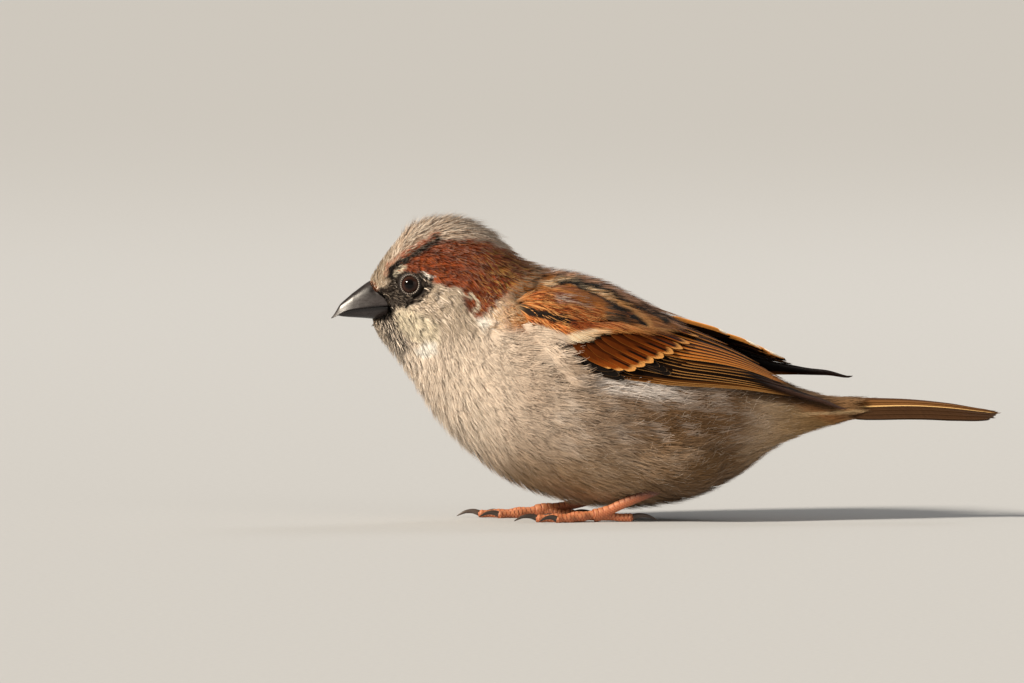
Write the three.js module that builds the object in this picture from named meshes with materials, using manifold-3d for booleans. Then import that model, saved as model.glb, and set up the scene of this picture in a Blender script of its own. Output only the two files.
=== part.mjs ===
// House sparrow, adult male, standing on level ground with its legs well bent.
// Millimetres, +Z up. The bird faces -X and its left side is towards -Y. The origin is on the
// ground, under the middle of the bird's length. The solids reach out to the tips of the plumage.

import * as THREE from 'three';
import { mergeVertices } from 'three/addons/utils/BufferGeometryUtils.js';
import Module from 'manifold-3d';

const wasm = await Module();
wasm.setup();

// ---- Driving dimensions --------------------------------------------------------------------

const GAP = 0.3; // clearance between neighbouring pieces
const LEFT = -1; // sign of Y on the bird's left side
const RIGHT = 1;

// The body from the tail coverts to the face. Each station is a slice across the bird: the two
// ends of the slice on the outline of the side view as [x, z], half its width, and the height of
// its widest level as a share of the slice, from its lower end.
const BODY_STATIONS = [
  { top: [36.6, 27.6], bottom: [37.0, 20.8], half: 5.6, widest: 0.55 },
  { top: [30.0, 29.6], bottom: [32.4, 19.4], half: 8.6, widest: 0.52 },
  { top: [22.5, 33.4], bottom: [24.5, 15.6], half: 12.8, widest: 0.5 },
  { top: [14.5, 38.4], bottom: [16.0, 9.2], half: 16.8, widest: 0.5 },
  { top: [6.0, 42.8], bottom: [7.0, 4.6], half: 19.8, widest: 0.48 },
  { top: [-3.0, 47.8], bottom: [-4.0, 2.3], half: 21.7, widest: 0.47 },
  { top: [-11.5, 52.1], bottom: [-14.5, 2.3], half: 22.4, widest: 0.46 },
  { top: [-19.5, 55.2], bottom: [-24.5, 4.2], half: 21.9, widest: 0.46 },
  { top: [-26.5, 56.6], bottom: [-34.5, 7.9], half: 20.6, widest: 0.46 },
  { top: [-31.5, 58.6], bottom: [-43.5, 14.4], half: 18.4, widest: 0.46 },
  { top: [-35.0, 61.6], bottom: [-50.6, 21.8], half: 15.8, widest: 0.46 },
  { top: [-39.5, 65.2], bottom: [-55.6, 29.2], half: 13.6, widest: 0.46 },
  { top: [-45.0, 67.7], bottom: [-60.2, 35.8], half: 11.5, widest: 0.42 },
  { top: [-51.2, 67.7], bottom: [-63.2, 39.9], half: 9.1, widest: 0.42 },
  { top: [-56.6, 65.6], bottom: [-64.4, 42.2], half: 7.5, widest: 0.44 },
  { top: [-60.8, 61.0], bottom: [-64.9, 43.2], half: 6.0, widest: 0.46 },
  { top: [-63.9, 56.8], bottom: [-65.3, 44.1], half: 4.3, widest: 0.48 },
  { top: [-65.8, 53.4], bottom: [-65.5, 45.2], half: 2.4, widest: 0.5 },
];
const BODY_AROUND = 24; // points round one slice
const BODY_SLICES = 29; // from end to end
const BODY_ROUNDNESS = 0.94; // 1 is an ellipse, less is fuller at the corners
const RUMP_FROM_STATION = 3.2; // where the body is parted, in stations from the tail
const BREAST_FROM_STATION = 6.8;
const NECK_FROM_STATION = 9.6;
const HEAD_FROM_STATION = 11.3;

// The bill: heights of the ridge, of the cutting edge and of the lower rim along X.
const BILL_RIDGE = [[-61.5, 54.6], [-65.6, 53.2], [-69.4, 50.5], [-72.2, 48.0], [-74.2, 45.0]];
const BILL_EDGE = [[-61.5, 48.2], [-65.6, 47.3], [-67.8, 47.0], [-71.1, 46.2], [-74.2, 44.8]];
const BILL_RIM = [[-61.5, 43.9], [-64.4, 44.3], [-66.9, 44.55], [-70.2, 44.75], [-72.4, 44.95]];
const BILL_BASE_HALF_WIDTH = 3.9;
const BILL_TAPER = 0.72; // power of the taper towards the tip
const BILL_TIP_X = -74.2;
const LOWER_BILL_TIP_X = -72.4;
const BILL_BASE_X = -61.5;

const EYE_RADIUS = 2.7;
const EYE_PLACE = [-56.9, 5.9, 52.5]; // the left eye is at minus this Y
const EYE_HOLLOW = { centre: [-57.2, 52.4], reach: [5.2, 4.0], depth: 1.9 }; // a dip in the face

// The folded wing in slices across the bird, front to tip: the outer surface runs from its low
// edge to its high edge, each [y, z] with Y as the distance from the middle plane.
const WING_STATIONS = [
  { x: -33.0, low: [17.2, 46.2], high: [15.6, 49.6], thick: 1.0 },
  { x: -27.0, low: [20.0, 41.6], high: [12.6, 52.4], thick: 1.9 },
  { x: -21.0, low: [21.9, 36.2], high: [11.0, 52.2], thick: 2.3 },
  { x: -16.5, low: [22.5, 32.2], high: [10.0, 51.0], thick: 2.4 },
  { x: -10.0, low: [22.6, 31.0], high: [8.6, 49.0], thick: 2.4 },
  { x: -3.0, low: [22.0, 30.3], high: [6.8, 46.4], thick: 2.2 },
  { x: 4.0, low: [20.8, 30.0], high: [5.0, 43.6], thick: 2.0 },
  { x: 11.0, low: [18.6, 29.7], high: [3.6, 40.6], thick: 1.8 },
  { x: 18.0, low: [15.8, 29.3], high: [3.0, 37.0], thick: 1.5 },
  { x: 24.5, low: [13.0, 28.9], high: [3.0, 33.0], thick: 1.2 },
  { x: 30.0, low: [10.8, 28.2], high: [4.2, 30.3], thick: 1.0 },
  { x: 35.5, low: [9.2, 26.7], high: [5.9, 28.2], thick: 0.8 },
  { x: 39.7, low: [8.1, 25.1], high: [7.5, 25.6], thick: 0.6 },
];
const WING_CORNER = 0.74; // height of the shoulder of a slice, as a share of its height
const WING_EDGE = 0.55; // thickness at the low and high edges of a slice
const WING_SAMPLES = 7; // spans across the outer surface
const WING_SLICES_PER_STATION = 1.2;
const WING_COVERTS_CUT = { top: [9.5, 44.0], bottom: [-9.0, 27.0] };
const WING_PRIMARIES_CUT = { top: [36.0, 31.8], bottom: [-10.0, 34.4] };
const RIGHT_WING_LIFT = 6.4; // the right wing's tip is held this much higher
const RIGHT_WING_REACH = 1.5; // and reaches this much further back
const WING_LIFT_FROM_X = -2.0;
const WING_LIFT_TO_X = 42.0;
const CUTTER_REACH = 7.0; // the body is cleared this far outside a wing

// The closed tail: one middle pair of feathers over three layers on each side, as a low roof.
const TAIL_ROOT_X = 37.3;
const TAIL_RIDGE = [[37.3, 27.2], [46.0, 27.1], [54.5, 26.8], [63.3, 25.9], [71.1, 24.6], [74.2, 24.1]];
const TAIL_LAYERS = [
  { name: 'centre', tip: 72.6, rootHalf: 2.4, endHalf: 3.6 },
  { name: 'inner', tip: 74.2, rootHalf: 3.2, endHalf: 5.2 },
  { name: 'middle', tip: 74.0, rootHalf: 4.0, endHalf: 6.6 },
  { name: 'outer', tip: 72.6, rootHalf: 4.6, endHalf: 7.8 }, // the widest
];
const TAIL_FEATHER_THICKNESS = 0.5;
const TAIL_ROOF_DROP_ROOT = 3.1; // from the ridge down to the outermost layer
const TAIL_ROOF_DROP_TIP = 1.98;
const TAIL_DROOP = 0.9; // how far every layer curls down at the tail's widest
const WIDEST_TAIL_HALF = 7.8;
const TAIL_ROLL = THREE.MathUtils.degToRad(4); // the right edge hangs lower
const TAIL_ROUND_FROM = 0.9; // share of a feather's length where its tip starts to round off
const TAIL_SLICES = 8;
const TAIL_SPANS = 3; // spans across one layer

// Legs. Each leg stands at its ball, the joint that the toes spring from.
const BALL_HEIGHT = 1.75;
const BALL_RADIUS = 1.6;
const TARSUS_HALF_DEPTH = 1.1;
const TARSUS_HALF_WIDTH = 0.9;
const ANKLE_RADIUS = 1.5;
const LEGS = [
  {
    side: LEFT,
    name: 'left',
    ball: [-15.1, -11.2],
    tarsus: [[6.2, -1.0, 4.3], [13.0, -2.1, 7.1], [19.2, -3.0, 9.7]],
    thigh: { centre: [3.4, -13.0, 14.0], radii: [10.5, 7.6, 8.2] },
    yaw: 8,
  },
  {
    side: RIGHT,
    name: 'right',
    ball: [-27.8, 10.2],
    tarsus: [[6.4, 0.9, 2.7], [12.4, 1.9, 4.4], [18.8, 3.0, 8.4]],
    thigh: { centre: [-7.6, 12.8, 12.4], radii: [10.5, 7.6, 8.2] },
    yaw: 6,
  },
];
const TOES = [
  { name: 'middle_toe', yaw: 0, length: 13.6, claw: 4.9, radius: 1.08, joints: 3 },
  { name: 'inner_toe', yaw: -21, length: 9.6, claw: 4.3, radius: 0.98, joints: 2 },
  { name: 'outer_toe', yaw: 19, length: 10.2, claw: 4.2, radius: 0.96, joints: 3 },
  { name: 'hind_toe', yaw: 180, length: 7.8, claw: 5.6, radius: 1.1, joints: 1 },
];
const PAD_FLAT = 0.14; // how far the toe pads are pressed flat on the ground
const TOE_AROUND = 8;
const TOE_SLICES = 7;
const CLAW_AROUND = 6;
const CLAW_SLICES = 5;
const CLAW_RISE = 1.15; // height of a claw's arch over its ends
const CLAW_TIP_HEIGHT = 0.35;

// ---- Making and cutting solids -------------------------------------------------------------

const smooth = (t) => t * t * (3 - 2 * t);
const curveThrough = (points) => new THREE.SplineCurve(points.map(([x, z]) => new THREE.Vector2(x, z)));

// The height of a profile, given as [x, z] points with X going one way, at a given X.
function heightAt(points, x) {
  const last = points.length - 1;
  const rising = points[last][0] > points[0][0];
  let span = 0;
  while (span < last - 1 && (rising ? x > points[span + 1][0] : x < points[span + 1][0])) span += 1;
  const share = (x - points[span][0]) / (points[span + 1][0] - points[span][0]);
  const u = (span + THREE.MathUtils.clamp(share, 0, 1)) / last;
  return curveThrough(points).getPoint(u).y;
}

// A closed body over a row of rings, each with the same number of points, with flat ends.
function loft(rings) {
  const around = rings[0].length;
  const points = rings.flat();
  const ends = [rings[0], rings[rings.length - 1]].map((ring) =>
    ring.reduce((sum, p) => sum.add(p), new THREE.Vector3()).divideScalar(around));
  const index = [];
  for (let r = 0; r < rings.length - 1; r += 1) {
    for (let i = 0; i < around; i += 1) {
      const a = r * around + i;
      const b = r * around + ((i + 1) % around);
      index.push(a, b, b + around, a, b + around, a + around);
    }
  }
  const lastRing = (rings.length - 1) * around;
  for (let i = 0; i < around; i += 1) {
    const next = (i + 1) % around;
    index.push(points.length, next, i);
    index.push(points.length + 1, lastRing + i, lastRing + next);
  }
  const all = [...points, ...ends];
  const turnedOut = signedVolume(all, index) > 0 ? index : index.slice().reverse();
  const geometry = new THREE.BufferGeometry().setFromPoints(all);
  geometry.setIndex(turnedOut);
  return geometry;
}

function signedVolume(points, index) {
  let volume = 0;
  for (let i = 0; i < index.length; i += 3) {
    const [a, b, c] = [points[index[i]], points[index[i + 1]], points[index[i + 2]]];
    volume += a.dot(new THREE.Vector3().crossVectors(b, c)) / 6;
  }
  return volume;
}

function solidOf(geometry) {
  const bare = geometry.clone();
  bare.deleteAttribute('normal');
  bare.deleteAttribute('uv');
  const merged = mergeVertices(bare, 1e-4);
  return new wasm.Manifold(new wasm.Mesh({
    numProp: 3,
    vertProperties: new Float32Array(merged.attributes.position.array),
    triVerts: new Uint32Array(merged.index.array),
  }));
}

function geometryOf(solid) {
  const mesh = solid.getMesh();
  const geometry = new THREE.BufferGeometry();
  geometry.setAttribute('position', new THREE.BufferAttribute(new Float32Array(mesh.vertProperties), 3));
  geometry.setIndex(new THREE.BufferAttribute(new Uint32Array(mesh.triVerts), 1));
  return geometry;
}

const largestPiece = (solid) => solid.decompose().sort((a, b) => b.volume() - a.volume())[0];
const cutAll = (solid, tools) => largestPiece(tools.reduce((rest, tool) => rest.subtract(tool), solid));

function ellipsoid([x, y, z], radii) {
  const geometry = new THREE.SphereGeometry(1, 12, 7);
  geometry.scale(...radii);
  geometry.translate(x, y, z);
  return solidOf(geometry);
}

// A big block whose one face lies on the line from bottom to top of the side view and which
// covers what is ahead of that line (towards +X) or behind it. It stands off by half the gap.
const BLOCK = 260;
function sideBlock({ top, bottom }, ahead) {
  const lean = Math.atan2(top[0] - bottom[0], top[1] - bottom[1]);
  const geometry = new THREE.BoxGeometry(BLOCK, BLOCK, BLOCK);
  geometry.translate((BLOCK / 2 - GAP / 2) * (ahead ? 1 : -1), 0, 0);
  geometry.rotateY(lean);
  geometry.translate((top[0] + bottom[0]) / 2, 0, (top[1] + bottom[1]) / 2);
  return solidOf(geometry);
}

// ---- The body ------------------------------------------------------------------------------

const LAST_STATION = BODY_STATIONS.length - 1;
const bodyTop = curveThrough(BODY_STATIONS.map((s) => s.top));
const bodyBottom = curveThrough(BODY_STATIONS.map((s) => s.bottom));
const bodyGirth = curveThrough(BODY_STATIONS.map((s) => [s.half, s.widest]));

function bodySlice(station) {
  const top = bodyTop.getPoint(station / LAST_STATION);
  const bottom = bodyBottom.getPoint(station / LAST_STATION);
  const girth = bodyGirth.getPoint(station / LAST_STATION);
  const centre = bottom.clone().lerp(top, girth.y);
  const ring = [];
  for (let i = 0; i < BODY_AROUND; i += 1) {
    const angle = (2 * Math.PI * i) / BODY_AROUND;
    const rise = Math.sign(Math.cos(angle)) * Math.abs(Math.cos(angle)) ** BODY_ROUNDNESS;
    const out = Math.sign(Math.sin(angle)) * Math.abs(Math.sin(angle)) ** BODY_ROUNDNESS;
    const end = rise >= 0 ? top : bottom;
    const at = centre.clone().lerp(end, Math.abs(rise));
    const [dipX, dipZ] = EYE_HOLLOW.centre;
    const away = ((at.x - dipX) / EYE_HOLLOW.reach[0]) ** 2 + ((at.y - dipZ) / EYE_HOLLOW.reach[1]) ** 2;
    const dip = EYE_HOLLOW.depth * Math.exp(-away) * Math.abs(out) ** 2;
    ring.push(new THREE.Vector3(at.x, out * girth.x - Math.sign(out) * dip, at.y));
  }
  return ring;
}

function bodyWhole() {
  const rings = [];
  for (let i = 0; i <= BODY_SLICES; i += 1) rings.push(bodySlice((LAST_STATION * i) / BODY_SLICES));
  return solidOf(loft(rings));
}

// The line across the side view where the body is parted at a station.
function partingLine(station) {
  const top = bodyTop.getPoint(station / LAST_STATION);
  const bottom = bodyBottom.getPoint(station / LAST_STATION);
  return { top: [top.x, top.y], bottom: [bottom.x, bottom.y] };
}

// The stretch of the body between two stations; null leaves that end whole.
function bodyStretch(whole, from, to) {
  const tools = [];
  if (from !== null) tools.push(sideBlock(partingLine(from), true));
  if (to !== null) tools.push(sideBlock(partingLine(to), false));
  return cutAll(whole, tools);
}

// ---- The bill and the eyes -----------------------------------------------------------------

// One half of the bill between two profiles, ridged on its outer side and flat on the other.
function billHalf(outerProfile, innerProfile, tipX, ridge, grow) {
  const slices = 8;
  const around = 10;
  const rings = [];
  for (let i = 0; i <= slices; i += 1) {
    const along = 1 - (1 - i / slices) ** 1.4;
    const x = THREE.MathUtils.lerp(BILL_BASE_X, tipX, along * 0.995);
    const outer = heightAt(outerProfile, x) + Math.sign(ridge) * grow;
    const inner = heightAt(innerProfile, x) + Math.sign(ridge) * (GAP / 2 - grow);
    const half = BILL_BASE_HALF_WIDTH * Math.abs(ridge) * (1 - along * 0.97) ** BILL_TAPER + grow;
    const ring = [];
    for (let k = 0; k < around; k += 1) {
      const angle = (2 * Math.PI * k) / around;
      const lift = Math.cos(angle);
      const share = lift >= 0 ? 0.25 + 0.75 * lift ** 1.15 : 0.25 * (1 + lift);
      ring.push(new THREE.Vector3(x, half * Math.sin(angle), THREE.MathUtils.lerp(inner, outer, share)));
    }
    rings.push(ring);
  }
  return solidOf(loft(rings));
}

const upperBill = (grow = 0) => billHalf(BILL_RIDGE, BILL_EDGE, BILL_TIP_X, 1, grow);
const lowerBill = (grow = 0) => billHalf(BILL_RIM, BILL_EDGE, LOWER_BILL_TIP_X, -0.92, grow);

function eye(side, grow = 0) {
  const geometry = new THREE.SphereGeometry(EYE_RADIUS + grow, 12, 7);
  geometry.translate(EYE_PLACE[0], side * EYE_PLACE[1], EYE_PLACE[2]);
  return solidOf(geometry);
}

// ---- The wings -----------------------------------------------------------------------------

function wingStation(share) {
  const last = WING_STATIONS.length - 1;
  const at = THREE.MathUtils.clamp(share * last, 0, last);
  const through = (pick) => curveThrough(WING_STATIONS.map(pick)).getPoint(at / last);
  const low = through((s) => s.low);
  const high = through((s) => s.high);
  const run = through((s) => [s.x, s.thick]);
  return { x: run.x, low, high, thick: run.y };
}

const WING_LIFT_RUN = WING_LIFT_TO_X - WING_LIFT_FROM_X;
const raisedShare = (x) => Math.max(0, x - WING_LIFT_FROM_X) / WING_LIFT_RUN;
const wingLift = (x) => RIGHT_WING_LIFT * raisedShare(x) ** 1.5;

// One slice of a folded wing. A cutter for the body is thicker inwards and reaches far outwards.
function wingSlice(side, share, cutter) {
  const { x, low, high, thick } = wingStation(share);
  const lift = side === RIGHT ? wingLift(x) : 0;
  const reach = side === RIGHT ? RIGHT_WING_REACH * raisedShare(x) : 0;
  const corner = new THREE.Vector2(low.x * 1.02, low.y + WING_CORNER * (high.y - low.y));
  const outer = [];
  const inner = [];
  for (let i = 0; i <= WING_SAMPLES; i += 1) {
    const t = i / WING_SAMPLES;
    const point = low.clone().multiplyScalar((1 - t) ** 2)
      .addScaledVector(corner, 2 * t * (1 - t)).addScaledVector(high, t * t);
    const rise = corner.clone().sub(low).multiplyScalar(1 - t);
    const tangent = rise.addScaledVector(high.clone().sub(corner), t).normalize();
    const inward = new THREE.Vector2(-tangent.y, tangent.x);
    const depth = WING_EDGE + (thick - WING_EDGE) * Math.sin(Math.PI * t) ** 0.6;
    if (cutter) point.addScaledVector(tangent, GAP * (2 * t - 1));
    outer.push(point.clone().addScaledVector(inward, cutter ? -CUTTER_REACH : 0));
    inner.push(point.clone().addScaledVector(inward, depth + (cutter ? GAP : 0)));
  }
  const ends = cutter ? (share <= 0 ? -GAP : share >= 1 ? GAP : 0) : 0;
  return [...outer, ...inner.reverse()].map((p) =>
    new THREE.Vector3(x + reach + ends, side * p.x, p.y + lift));
}

function wingWhole(side, cutter = false) {
  const slices = Math.round((WING_STATIONS.length - 1) * WING_SLICES_PER_STATION);
  const rings = [];
  for (let i = 0; i <= slices; i += 1) rings.push(wingSlice(side, i / slices, cutter));
  return solidOf(loft(rings));
}

// Coverts at the front, inner flight feathers above, primaries below and out to the tip.
function wingPieces(side) {
  const whole = wingWhole(side);
  const flight = whole.subtract(sideBlock(WING_COVERTS_CUT, false));
  const [x, z] = WING_PRIMARIES_CUT.top;
  const raised = side === RIGHT ? wingLift(x) : 0;
  const slope = { top: [x, z + raised], bottom: WING_PRIMARIES_CUT.bottom };
  return {
    coverts: cutAll(whole, [sideBlock(WING_COVERTS_CUT, true)]),
    secondaries: cutAll(flight, [sideBlock(slope, true)]),
    primaries: cutAll(flight, [sideBlock(slope, false)]),
  };
}

// ---- The tail ------------------------------------------------------------------------------

// One layer of the closed tail. The middle pair spans both sides, the others one side each.
function tailLayer(level, side) {
  const layer = TAIL_LAYERS[level];
  const share = level / (TAIL_LAYERS.length - 1);
  const rings = [];
  for (let i = 0; i <= TAIL_SLICES; i += 1) {
    const along = i / TAIL_SLICES;
    const x = THREE.MathUtils.lerp(TAIL_ROOT_X, layer.tip, along);
    const drop = THREE.MathUtils.lerp(TAIL_ROOF_DROP_ROOT, TAIL_ROOF_DROP_TIP, smooth(along));
    const rounding = Math.sqrt(1 - (Math.max(0, along - TAIL_ROUND_FROM) / 0.13) ** 2);
    const spread = smooth(Math.min(1, along * 1.3));
    const half = THREE.MathUtils.lerp(layer.rootHalf, layer.endHalf, spread) * rounding;
    const height = heightAt(TAIL_RIDGE, x) - drop * share;
    const nearEdge = side === 0 ? -half : GAP / 2;
    const ring = [];
    for (const face of [0, 1]) {
      for (let k = 0; k <= TAIL_SPANS; k += 1) {
        const t = face === 0 ? k / TAIL_SPANS : 1 - k / TAIL_SPANS;
        const y = THREE.MathUtils.lerp(nearEdge, half, t);
        const droop = TAIL_DROOP * (y / WIDEST_TAIL_HALF) ** 2;
        const z = height - droop - face * TAIL_FEATHER_THICKNESS;
        ring.push(new THREE.Vector3(x, (side === 0 ? 1 : side) * y, z));
      }
    }
    rings.push(ring);
  }
  const geometry = loft(rings);
  const pivot = heightAt(TAIL_RIDGE, TAIL_ROOT_X) - TAIL_ROOF_DROP_ROOT / 2;
  geometry.translate(0, 0, -pivot);
  geometry.rotateX(-TAIL_ROLL);
  geometry.translate(0, 0, pivot);
  return geometry;
}

// ---- The legs ------------------------------------------------------------------------------

// A rounded tube along a path, flattened where it would go under the ground.
function limb(points, radiiAt, around, slices, grow = 0) {
  const path = new THREE.CatmullRomCurve3(points);
  const rings = [];
  for (let i = 0; i <= slices; i += 1) {
    const t = i / slices;
    const centre = path.getPointAt(t);
    const along = path.getTangentAt(t);
    const sideways = new THREE.Vector3(0, 0, 1).cross(along).normalize();
    const upwards = along.clone().cross(sideways);
    const [wide, deep] = radiiAt(t);
    const ring = [];
    for (let k = 0; k < around; k += 1) {
      const angle = (2 * Math.PI * (k + 0.5)) / around;
      const p = centre.clone()
        .addScaledVector(sideways, (wide + grow) * Math.cos(angle))
        .addScaledVector(upwards, (deep + grow) * Math.sin(angle));
      p.z = Math.max(p.z, grow > 0 ? -1 : 0);
      ring.push(p);
    }
    rings.push(ring);
  }
  return solidOf(loft(rings));
}

function tarsus(leg, grow = 0) {
  const points = [[-0.9, 0, BALL_HEIGHT - 0.35], [1.2, 0, BALL_HEIGHT + 0.15], ...leg.tarsus]
    .map((p) => new THREE.Vector3(...p));
  const radiiAt = (t) => {
    const ball = Math.max(0, 1 - t / 0.2);
    const ankle = Math.max(0, (t - 0.82) / 0.18);
    const swell = (BALL_RADIUS - TARSUS_HALF_DEPTH) * Math.sin(Math.PI * Math.min(1, ball * 1.1) * 0.5);
    const end = t < 0.01 ? 0.72 : 1;
    const extra = swell + (ANKLE_RADIUS - TARSUS_HALF_DEPTH) * smooth(ankle);
    return [(TARSUS_HALF_WIDTH + extra) * end, (TARSUS_HALF_DEPTH + extra * 0.8) * end];
  };
  return limb(points, radiiAt, 8, 12, grow);
}

// The direction that a toe points in, on the ground.
function toeHeading(leg, toe) {
  const yaw = THREE.MathUtils.degToRad(180 - leg.side * (leg.yaw + toe.yaw));
  return new THREE.Vector3(Math.cos(yaw), Math.sin(yaw), 0);
}

const TOE_ROOT = 1.0; // the toes' axes start this far from the ball
function toeBody(leg, toe, grow = 0) {
  const heading = toeHeading(leg, toe);
  const at = (distance, z) => heading.clone().multiplyScalar(distance).setZ(z);
  const low = toe.radius - PAD_FLAT;
  const points = [
    at(TOE_ROOT, BALL_HEIGHT - 0.2),
    at(TOE_ROOT + toe.length * 0.24, low + 0.35),
    at(TOE_ROOT + toe.length * 0.5, low),
    at(TOE_ROOT + toe.length * 0.76, low - 0.05),
    at(toe.length, low - 0.2),
  ];
  const radiiAt = (t) => {
    const pads = 0.09 * Math.cos(2 * Math.PI * toe.joints * t);
    const taper = 1 - 0.2 * t;
    const end = t > 0.99 ? 0.74 : 1;
    return [toe.radius * (taper * 0.94 + pads) * end, toe.radius * (taper + pads) * end];
  };
  return limb(points, radiiAt, TOE_AROUND, TOE_SLICES, grow);
}

function claw(leg, toe) {
  const heading = toeHeading(leg, toe);
  const start = toe.length + GAP;
  const low = toe.radius - PAD_FLAT - 0.2;
  const at = (share, z) => heading.clone().multiplyScalar(start + toe.claw * share).setZ(z);
  const points = [
    at(0, low + 0.1),
    at(0.35, low + CLAW_RISE * 0.5),
    at(0.72, low + CLAW_RISE * 0.32),
    at(1, CLAW_TIP_HEIGHT),
  ];
  const radiiAt = (t) => [0.25 + 0.3 * (1 - t) ** 0.8, 0.26 + 0.46 * (1 - t) ** 0.8];
  return limb(points, radiiAt, CLAW_AROUND, CLAW_SLICES);
}

// ---- Putting the bird together -------------------------------------------------------------

const FINISHES = {
  crown: { color: 0x6f3a22, roughness: 0.95 },
  nape: { color: 0x7a3a1c, roughness: 0.95 },
  breast: { color: 0xc3b5a0, roughness: 0.95 },
  mantle: { color: 0x9a6a40, roughness: 0.95 },
  rump: { color: 0xa89478, roughness: 0.95 },
  belly: { color: 0xc0a888, roughness: 0.95 },
  coverts: { color: 0x8f4a22, roughness: 0.9 },
  flight: { color: 0x4a3424, roughness: 0.85 },
  tail: { color: 0x6b4f38, roughness: 0.85 },
  bill: { color: 0x2a2a2c, roughness: 0.35 },
  eye: { color: 0x1a0f0a, roughness: 0.05 },
  scutes: { color: 0xb8643c, roughness: 0.6 },
  claw: { color: 0x2e2622, roughness: 0.35 },
};

function piece(name, finish, shape) {
  const geometry = shape.isBufferGeometry ? shape : geometryOf(shape);
  const material = new THREE.MeshStandardMaterial({ ...FINISHES[finish], metalness: 0 });
  const mesh = new THREE.Mesh(geometry, material);
  mesh.name = name;
  return mesh;
}

const sparrow = new THREE.Group();

// Legs, each in a group of its own that stands at the ball of its foot.
const legSolids = [];
for (const leg of LEGS) {
  const foot = new THREE.Group();
  foot.position.set(leg.ball[0], leg.ball[1], 0);
  const place = [leg.ball[0], leg.ball[1], 0];
  const middle = toeBody(leg, TOES[0], GAP);
  const shank = tarsus(leg);
  const grownShank = tarsus(leg, GAP);
  foot.add(piece(`tarsus_${leg.name}`, 'scutes', shank));
  TOES.forEach((toe, order) => {
    const tools = order === 1 || order === 2 ? [grownShank, middle] : [grownShank];
    foot.add(piece(`${toe.name}_${leg.name}`, 'scutes', cutAll(toeBody(leg, toe), tools)));
    foot.add(piece(`${toe.name}_claw_${leg.name}`, 'claw', claw(leg, toe)));
  });
  sparrow.add(foot);
  legSolids.push({
    thigh: ellipsoid(leg.thigh.centre, leg.thigh.radii),
    grownThigh: ellipsoid(leg.thigh.centre, leg.thigh.radii.map((r) => r + GAP)),
    grownShank: grownShank.translate(place),
    name: leg.name,
  });
}

// The wings come before the body, which is cut back under them.
const wingCutters = [];
for (const [side, name] of [[LEFT, 'left'], [RIGHT, 'right']]) {
  const pieces = wingPieces(side);
  sparrow.add(piece(`wing_coverts_${name}`, 'coverts', pieces.coverts));
  sparrow.add(piece(`wing_secondaries_${name}`, 'flight', pieces.secondaries));
  sparrow.add(piece(`wing_primaries_${name}`, 'flight', pieces.primaries));
  wingCutters.push(wingWhole(side, true));
}

const whole = cutAll(bodyWhole(), wingCutters);
const headTools = [upperBill(GAP), lowerBill(GAP), eye(LEFT, GAP), eye(RIGHT, GAP)];
sparrow.add(piece('head', 'crown', cutAll(bodyStretch(whole, HEAD_FROM_STATION, null), headTools)));
sparrow.add(piece('neck', 'nape', bodyStretch(whole, NECK_FROM_STATION, HEAD_FROM_STATION)));
sparrow.add(piece('breast', 'breast', bodyStretch(whole, BREAST_FROM_STATION, NECK_FROM_STATION)));
const legTools = legSolids.flatMap((leg) => [leg.grownThigh, leg.grownShank]);
const trunk = bodyStretch(whole, RUMP_FROM_STATION, BREAST_FROM_STATION);
sparrow.add(piece('trunk', 'belly', cutAll(trunk, legTools)));
for (const leg of legSolids) {
  sparrow.add(piece(`thigh_${leg.name}`, 'belly', cutAll(trunk.intersect(leg.thigh), [leg.grownShank])));
}
sparrow.add(piece('rump', 'rump', bodyStretch(whole, null, RUMP_FROM_STATION)));

sparrow.add(piece('bill_upper', 'bill', upperBill()));
sparrow.add(piece('bill_lower', 'bill', lowerBill()));
sparrow.add(piece('eye_left', 'eye', eye(LEFT)));
sparrow.add(piece('eye_right', 'eye', eye(RIGHT)));

TAIL_LAYERS.forEach((layer, level) => {
  if (level === 0) {
    sparrow.add(piece('tail_centre', 'tail', tailLayer(level, 0)));
    return;
  }
  sparrow.add(piece(`tail_${layer.name}_left`, 'tail', tailLayer(level, LEFT)));
  sparrow.add(piece(`tail_${layer.name}_right`, 'tail', tailLayer(level, RIGHT)));
});

export default sparrow;
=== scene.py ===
"""A male house sparrow at life size: skin, plumage, bill, eyes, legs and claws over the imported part.

Sizes are in millimetres in the part's own frame: the bird faces -X, its left side is -Y, +Z is up.
"""

import logging
import math
from dataclasses import dataclass, field
from enum import Enum
from typing import Any, Callable, Sequence

import bmesh
import bpy
import numpy as np
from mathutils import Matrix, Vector


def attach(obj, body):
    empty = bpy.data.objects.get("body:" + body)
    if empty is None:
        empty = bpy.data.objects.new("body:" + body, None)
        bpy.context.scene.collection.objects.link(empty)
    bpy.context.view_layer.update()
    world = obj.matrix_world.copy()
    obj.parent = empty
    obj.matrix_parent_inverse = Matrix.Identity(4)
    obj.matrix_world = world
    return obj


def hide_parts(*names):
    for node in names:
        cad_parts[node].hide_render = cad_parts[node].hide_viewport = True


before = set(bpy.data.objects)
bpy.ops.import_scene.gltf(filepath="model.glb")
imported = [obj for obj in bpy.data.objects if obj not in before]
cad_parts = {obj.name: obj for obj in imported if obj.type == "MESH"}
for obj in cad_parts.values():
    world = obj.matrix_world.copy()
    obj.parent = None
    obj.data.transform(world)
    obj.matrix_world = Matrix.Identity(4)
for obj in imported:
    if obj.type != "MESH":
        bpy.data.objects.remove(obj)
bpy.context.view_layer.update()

Array = np.ndarray
LOG = logging.getLogger("sparrow")
MM = 0.001
LEFT, RIGHT = -1, 1  # sign of Y on each side


# ---- Colour ----


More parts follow.
